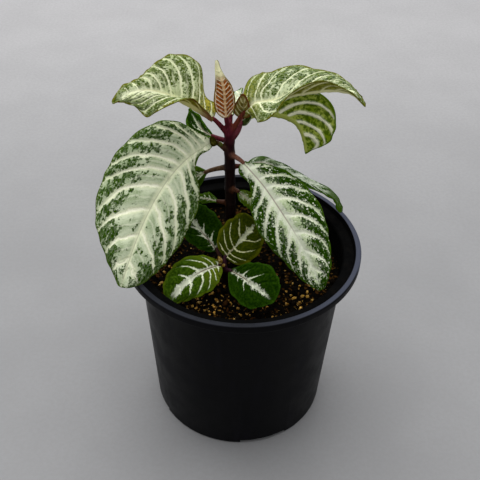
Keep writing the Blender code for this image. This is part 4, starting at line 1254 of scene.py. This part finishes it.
# Lobes at the foot of three blades
# Small lobes of the living blades, a few millimetres wide, which curl round the stalks and show their
# undersides. Each is grown as a small blade of its own at the foot of its blade.
BASE_LOBE = dict(
    face=[(-0.2, -0.85, 0.5), (-0.25, -0.75, 0.6)],
    left=[(3, 0.3), (3.8, 0.3), (3.8, 0.2), (2.6, 0), (1, -0.3)],
    right=[(1.1, 0), (3.3, 0.2), (3, 0.2), (2.1, 0), (0.9, -0.3)],
    waves=1, scallop=0,
    left_veins=[(0.08, 0.2, 0.42), (0.26, 0.42, 0.66), (0.46, 0.62, 0.84), (0.66, 0.8, 0.94)],
    right_veins=[(0.2, 0.4, 0.68), (0.45, 0.64, 0.86), (0.7, 0.84, 0.95)],
)
UPPER_CURL = dict(
    face=[(-0.3, -0.7, 0.65), (-0.4, -0.75, 0.5)],
    left=[(0.6, 0.3), (0.9, 0.8), (0.6, 0.4)],
    right=[(0.7, 0), (1.1, 0.2), (0.8, 0)],
    waves=1, scallop=0, veins=[(0.3, 0.5, 0.8)],
)
BASE_FOLD = dict(
    face=[(-0.3, -0.8, 0.5), (-0.1, -0.8, 0.6)],
    left=[(0.9, 0.3), (1.3, 0.6), (0.8, 0.3)],
    right=[(0.9, 0.3), (1.2, 0.6), (0.8, 0.3)],
    waves=1, scallop=0, veins=[(0.3, 0.5, 0.8)],
)
bronze_lobe = under_finish(
    "bronze_lobe", UNDER_LOOK, green=(124, 112, 50), green_light=(144, 132, 68), green_deep=(94, 82, 28),
    vein=(212, 206, 152), vein_width=0.25, rib=(150, 138, 84), rib_width=0.0, edge=(106, 66, 30))
dark_curl = under_finish(
    "dark_curl", UNDER_LOOK, green=(44, 60, 12), green_light=(62, 80, 24), green_deep=(28, 44, 4), glow=0.1,
    vein=(84, 100, 50), rib=(60, 76, 26), rib_width=0.0, edge=(140, 150, 116), edge_width=0.1)
olive_fold = under_finish(
    "olive_fold", UNDER_LOOK, green=(52, 52, 6), green_light=(74, 72, 16), green_deep=(34, 34, 2), glow=0.1,
    vein=(92, 90, 34), rib=(66, 60, 18), rib_width=0.0, edge=(46, 40, 6))
grow_leaf("top_right_base_lobe", BASE_LOBE, (40, 16), 0.15, [bronze_lobe, bronze_lobe], "leaf_top")
grow_leaf("upper_right_curl", UPPER_CURL, (24, 8), 0.05, [dark_curl, dark_curl], "leaf_top")
grow_leaf("big_left_fold", BASE_FOLD, (24, 8), 0.05, [olive_fold, olive_fold], "leaf_mature")

# Small leaves of the main stem
# Short dark blades low on the stem and behind it, as thin and soft as the large ones, with a pale patch along
# the midrib. Each grows on its own thin stalk.


def regular_veins(count, sweep, reach=1.3):
    """Side veins at even distances, which reach the margin further up the blade than they start."""
    veins = []
    for number in range(count):
        start = 0.05 + 0.85 * number / count
        room = sweep * (1 - start)
        veins.append((start, start + 0.4 * room, start + room, reach))
    return veins


UPPER_LEFT = dict(
    face=[(-0.36, -0.24, 0.9), (0.03, -0.53, 0.85)],
    left=[(1, 0), (3, 0), (5, 0), (4, 0.5), (1, 0)],
    right=[(0.5, 0), (2, 0.5), (2.5, 0.5), (2.5, 0), (0.5, 0)],
    waves=2, left_veins=[(0.1, 0.2, 0.4, 0.2), (0.3, 0.55, 0.95, 0.5)],
    right_veins=[(0.1, 0.25, 0.6, 0.4), (0.4, 0.6, 0.9, 0.1)],
)
LOW_LEFT = dict(
    face=[(-0.47, -0.61, 0.64), (-0.49, -0.67, 0.56), (-0.46, -0.71, 0.54)],
    left=[(2, 0), (4.5, -1), (6, -1), (6.5, 0), (6, -0.5), (4, 0), (1, 0)],
    right=[(2, -0.5), (5.5, -1), (8, -1), (8.5, 0), (7.5, 0), (5, 0), (1, 0)],
    waves=3, veins=regular_veins(6, 0.35, 0.6),
)
SMALL_RIGHT = dict(
    face=[(-0.34, -0.56, 0.76), (-0.23, -0.65, 0.72)],
    left=[(1, -0.5), (3, -1), (4, -1.5), (3, -1.5), (0.5, -0.5)],
    right=[(1, -0.5), (3, -1), (3, -1), (2.5, -1), (0.5, -0.5)],
    waves=2, veins=regular_veins(4, 0.4, 0.5),
)
SMALL_LEFT = dict(
    face=[(0.07, -0.15, 0.99), (-0.3, -0.06, 0.95)],
    left=[(0.5, 0), (1.5, -0.5), (2.5, -1), (2.5, 0), (0.5, 0)],
    right=[(1, 0), (4, -0.5), (4.5, -0.5), (3.5, -0.5), (1.5, 0)],
    waves=2, veins=regular_veins(4, 0.4, 0.5),
)
small_look = dict(
    ragged_look, green=(30, 52, 0), green_light=(56, 80, 8), dark_from=0.0, dark_full=0.3, thin_veins=0,
    grain=0.5, specks=0, dark=(0.9, 1.5), dark_most=1.2, net=1.0, patch=0.3, clear=0.2, vein_width=0.1,
    vein_end=0.05, vein_soft=0.4, flash=(0.3, 0.2), teeth=0.5, flash_soft=0.5, halo=(90, 116, 60),
    halo_width=0.1, edge_width=0.3, flash_colour=(196, 204, 176), vein=(190, 198, 170))
small_upper = upper_finish("small_leaf_upper", small_look)
pale_small_upper = upper_finish(
    "pale_small_leaf_upper", small_look, green=(46, 66, 4), green_light=(84, 104, 26), flash=(1.1, 0.5),
    flash_ragged=0.7, flash_colour=(184, 194, 156))
dark_small_upper = upper_finish(
    "dark_small_leaf_upper", small_look, green=(14, 36, 0), green_light=(30, 58, 4))
small_under = under_finish(
    "small_leaf_underside", UNDER_LOOK, green=(70, 100, 40), green_light=(86, 112, 48),
    green_deep=(52, 80, 28))
grow_leaf("leaf_upper_left", UPPER_LEFT, (60, 18), 0.4, [dark_small_upper, small_under], "leaf_small")
grow_leaf("leaf_low_left", LOW_LEFT, (80, 22), 0.4, [small_upper, small_under], "leaf_small")
grow_leaf("leaf_small_right", SMALL_RIGHT, (56, 18), 0.35, [pale_small_upper, small_under], "leaf_small")
grow_leaf("leaf_small_left", SMALL_LEFT, (56, 18), 0.35, [small_upper, small_under], "leaf_small")

# Youngest leaves
# They unfold from the growing tip. The front one stands upright with its terracotta underside to the front,
# cream veins in a ladder and a pale yellow tip. The back one is a small pale blade behind it.
YOUNG_FRONT = dict(
    face=[(-0.16, 0.99, 0.06), (-0.08, 1, 0), (0.15, 0.97, -0.18)],
    left=[(1.5, 0), (4, 1), (4.5, 2), (3.5, 2), (1.5, 1), (0.5, 0.5), (0.5, 0)],
    right=[(2, 0), (4, 0.5), (4.5, 1.5), (3.5, 2), (2.5, 2), (1.5, 1), (0.5, 0)],
    waves=2, scallop=0, keel=0.05, veins=regular_veins(11, 0.12),
)
YOUNG_BACK = dict(
    face=[(-0.4, -0.72, 0.56), (-0.01, -0.28, 0.96)],
    left=[(0.5, 0), (2.5, -0.5), (2.5, 0), (2.5, 0), (0.5, 0)],
    right=[(1, 0), (2.5, 0), (3, 0), (1.5, 0), (0.5, 0)],
    waves=2, veins=regular_veins(6, 0.25),
)
young_under = under_finish(
    "young_leaf_underside", UNDER_LOOK, green=(162, 84, 30), green_light=(182, 106, 42),
    green_deep=(118, 58, 16), vein=(255, 238, 208), vein_width=0.2, vein_end=0.12, ring=0.7,
    rib=(222, 184, 138), rib_width=0.1, rib_soft=0.2, edge=(128, 96, 20), edge_width=0.35,
    tip=((252, 248, 200), 0.62, 0.82))
young_upper = upper_finish(
    "young_leaf_upper", top_look, green=(120, 84, 34), green_light=(140, 96, 44), frost=(190, 176, 120),
    frost_grey=(170, 160, 104), olive=None, cell=0.6, vein_width=0.2, vein_end=0.15, vein_soft=0.3,
    flash=(0.3, 0.4), teeth=0.2)
pale_upper = upper_finish(
    "pale_young_leaf_upper", MATURE_LOOK, dark=(-0.5, 0.0), vein_width=0.25, vein_end=0.2, flash=(0.4, 0.3),
    teeth=0.2, frost=(186, 206, 180), frost_grey=(172, 194, 168))
grow_leaf("leaf_young_front", YOUNG_FRONT, (90, 22), 0.15, [young_upper, young_under], "leaf_young")
grow_leaf("leaf_young_back", YOUNG_BACK, (56, 18), 0.15, [pale_upper, hanging_under], "leaf_young")

# Leaves of the side shoot
# Four small rounded leaves on short stalks over the mix. Two are nearly plain dark green with a jagged white
# flash along the midrib, two have thin pale side veins as well.
SHOOT_BACK = dict(
    face=[(-0.03, -0.47, 0.88), (-0.28, -0.17, 0.94)],
    left=[(4, -0.5), (7, 0), (8, 0.5), (6.5, 1.5), (4, 2)],
    right=[(3, 0), (9, -0.5), (11, 0), (10.5, 0.5), (7, 2)],
    waves=2,
    left_veins=[(0.03, 0.07, 0.12, 0.2), (0.12, 0.16, 0.26, 0.45), (0.27, 0.46, 0.62, 0.4),
                (0.48, 0.65, 0.8, 0.2), (0.7, 0.84, 0.95, 0.2)],
    right_veins=[(0.05, 0.1, 0.2, 0.2), (0.17, 0.3, 0.42, 0.55), (0.36, 0.6, 0.8, 0.35),
                 (0.58, 0.75, 0.9, 0.15), (0.8, 0.9, 0.97, 0.1)],
)
SHOOT_RIGHT = dict(
    face=[(-0.13, -0.62, 0.78), (0.3, -0.28, 0.91)],
    left=[(7, 0.5), (10.5, 0), (11.5, -0.5), (10, 0), (7.5, 1.5)],
    right=[(7.5, 0.5), (10.5, 1), (10.5, 1), (7, 1), (2, 0.5)],
    waves=2,
    left_veins=[(0.07, 0.09, 0.16, 0.8), (0.15, 0.21, 0.46, 0.9), (0.255, 0.375, 0.72, 0.85),
                (0.44, 0.65, 0.95, 0.75), (0.64, 0.8, 0.98, 0.3)],
    right_veins=[(0.05, 0.065, 0.14, 0.8), (0.125, 0.16, 0.29, 0.85), (0.245, 0.305, 0.58, 0.8),
                 (0.46, 0.54, 0.75, 0.85), (0.66, 0.76, 0.9, 0.3)],
)
SHOOT_LEFT = dict(
    face=[(0.29, -0.36, 0.89), (0, -0.71, 0.7)],
    left=[(5, 1.5), (9.5, 1), (10, 1), (7.5, 0.5), (3.5, 0)],
    right=[(3.5, 1), (7.5, 0.5), (10, -1), (8.5, -0.5), (5, 0.5)],
    waves=2,
    left_veins=[(0.07, 0.09, 0.13, 0.6), (0.155, 0.165, 0.22, 0.85), (0.235, 0.26, 0.5, 0.9),
                (0.345, 0.43, 0.74, 0.85), (0.56, 0.66, 0.9, 0.7), (0.75, 0.84, 0.96, 0.3)],
    right_veins=[(0.03, 0.06, 0.12, 0.6), (0.11, 0.16, 0.265, 0.9), (0.215, 0.27, 0.5, 0.88),
                 (0.355, 0.455, 0.66, 0.75), (0.54, 0.63, 0.8, 0.5), (0.72, 0.8, 0.92, 0.3)],
)
SHOOT_FRONT = dict(
    face=[(-0.43, -0.21, 0.88), (-0.07, -0.6, 0.8)],
    left=[(2.5, 0), (7.5, 0.5), (11.5, 0.5), (10.5, 0), (6.5, 0.5)],
    right=[(3, 0.5), (8, 0.5), (10, 0), (9.5, 0.5), (3.5, 0.5)],
    waves=2,
    left_veins=[(0.08, 0.11, 0.18, 0.15), (0.18, 0.22, 0.3, 0.2), (0.285, 0.335, 0.42, 0.5),
                (0.4, 0.55, 0.75, 0.6), (0.58, 0.72, 0.88, 0.15), (0.77, 0.86, 0.96, 0.15)],
    right_veins=[(0.07, 0.12, 0.2, 0.15), (0.2, 0.35, 0.5, 0.35), (0.35, 0.52, 0.7, 0.5),
                 (0.55, 0.7, 0.86, 0.2), (0.75, 0.85, 0.95, 0.15)],
)
shoot_look = dict(
    MATURE_LOOK, green=(12, 35, 0), green_light=(32, 57, 3), dark=(1.6, 1.6), patch=0.1, clear=0.1,
    edge_clear=0.0, thin_veins=0, dark_from=0.0, dark_full=0.1, dark_most=1.6, net=1.0, halo_width=0.1,
    vein=(196, 204, 176), vein_width=0.6, vein_end=-0.1, vein_soft=0.3, ragged=0.3, flash=(0.3, 0.95),
    flash_from=0.0, flash_to=0.7, teeth=1.0, flash_ragged=0.7, flash_soft=0.3, flash_colour=(204, 208, 186),
    edge=(26, 56, 4), edge_light=(46, 76, 10), edge_width=0.5, rib=(96, 70, 62), rib_width=0.1, rib_end=0.6,
    gloss=0.36)
plain_shoot_upper = upper_finish("plain_shoot_leaf_upper", shoot_look)
veined_shoot_upper = upper_finish(
    "veined_shoot_leaf_upper", shoot_look, green=(32, 56, 2), green_light=(66, 92, 18), vein_width=0.4,
    vein_end=0.1, flash_fade=1.15, vein=(226, 232, 202), flash_colour=(234, 238, 214), vein_soft=0.4,
    ragged=0.25, teeth=1.0, flash=(0.4, 1.2), flash_ragged=0.5, edge=(66, 88, 8),
    olive=((104, 116, 26), 0.1, 0.55, 0.75), edge_light=(90, 104, 18), edge_width=0.1, edge_soft=1.2)
olive_upper = upper_finish(
    "olive_shoot_leaf_upper", shoot_look, green=(34, 46, 2), green_light=(58, 66, 6), vein=(196, 196, 150),
    vein_width=0.2, vein_end=0.05, vein_soft=0.4, ragged=0.25, flash_ragged=0.4, teeth=0.5,
    flash=(0.0, 0.9), flash_from=0.2, flash_to=0.5, flash_colour=(196, 200, 168), edge=(74, 78, 8),
    edge_light=(84, 88, 10), edge_width=0.5, edge_soft=1.6, rib=(150, 140, 110), rib_end=0.45)
shoot_under = under_finish(
    "shoot_leaf_underside", UNDER_LOOK, green=(50, 76, 26), green_light=(64, 90, 36),
    green_deep=(38, 60, 18))
grow_leaf("shoot_leaf_back", SHOOT_BACK, (76, 26), 0.35, [plain_shoot_upper, shoot_under], "leaf_shoot")
grow_leaf("shoot_leaf_right", SHOOT_RIGHT, (76, 26), 0.4, [olive_upper, shoot_under], "leaf_shoot_olive")
grow_leaf("shoot_leaf_left", SHOOT_LEFT, (76, 26), 0.4, [veined_shoot_upper, shoot_under], "leaf_shoot")
grow_leaf("shoot_leaf_front", SHOOT_FRONT, (76, 26), 0.35, [plain_shoot_upper, shoot_under], "leaf_shoot")
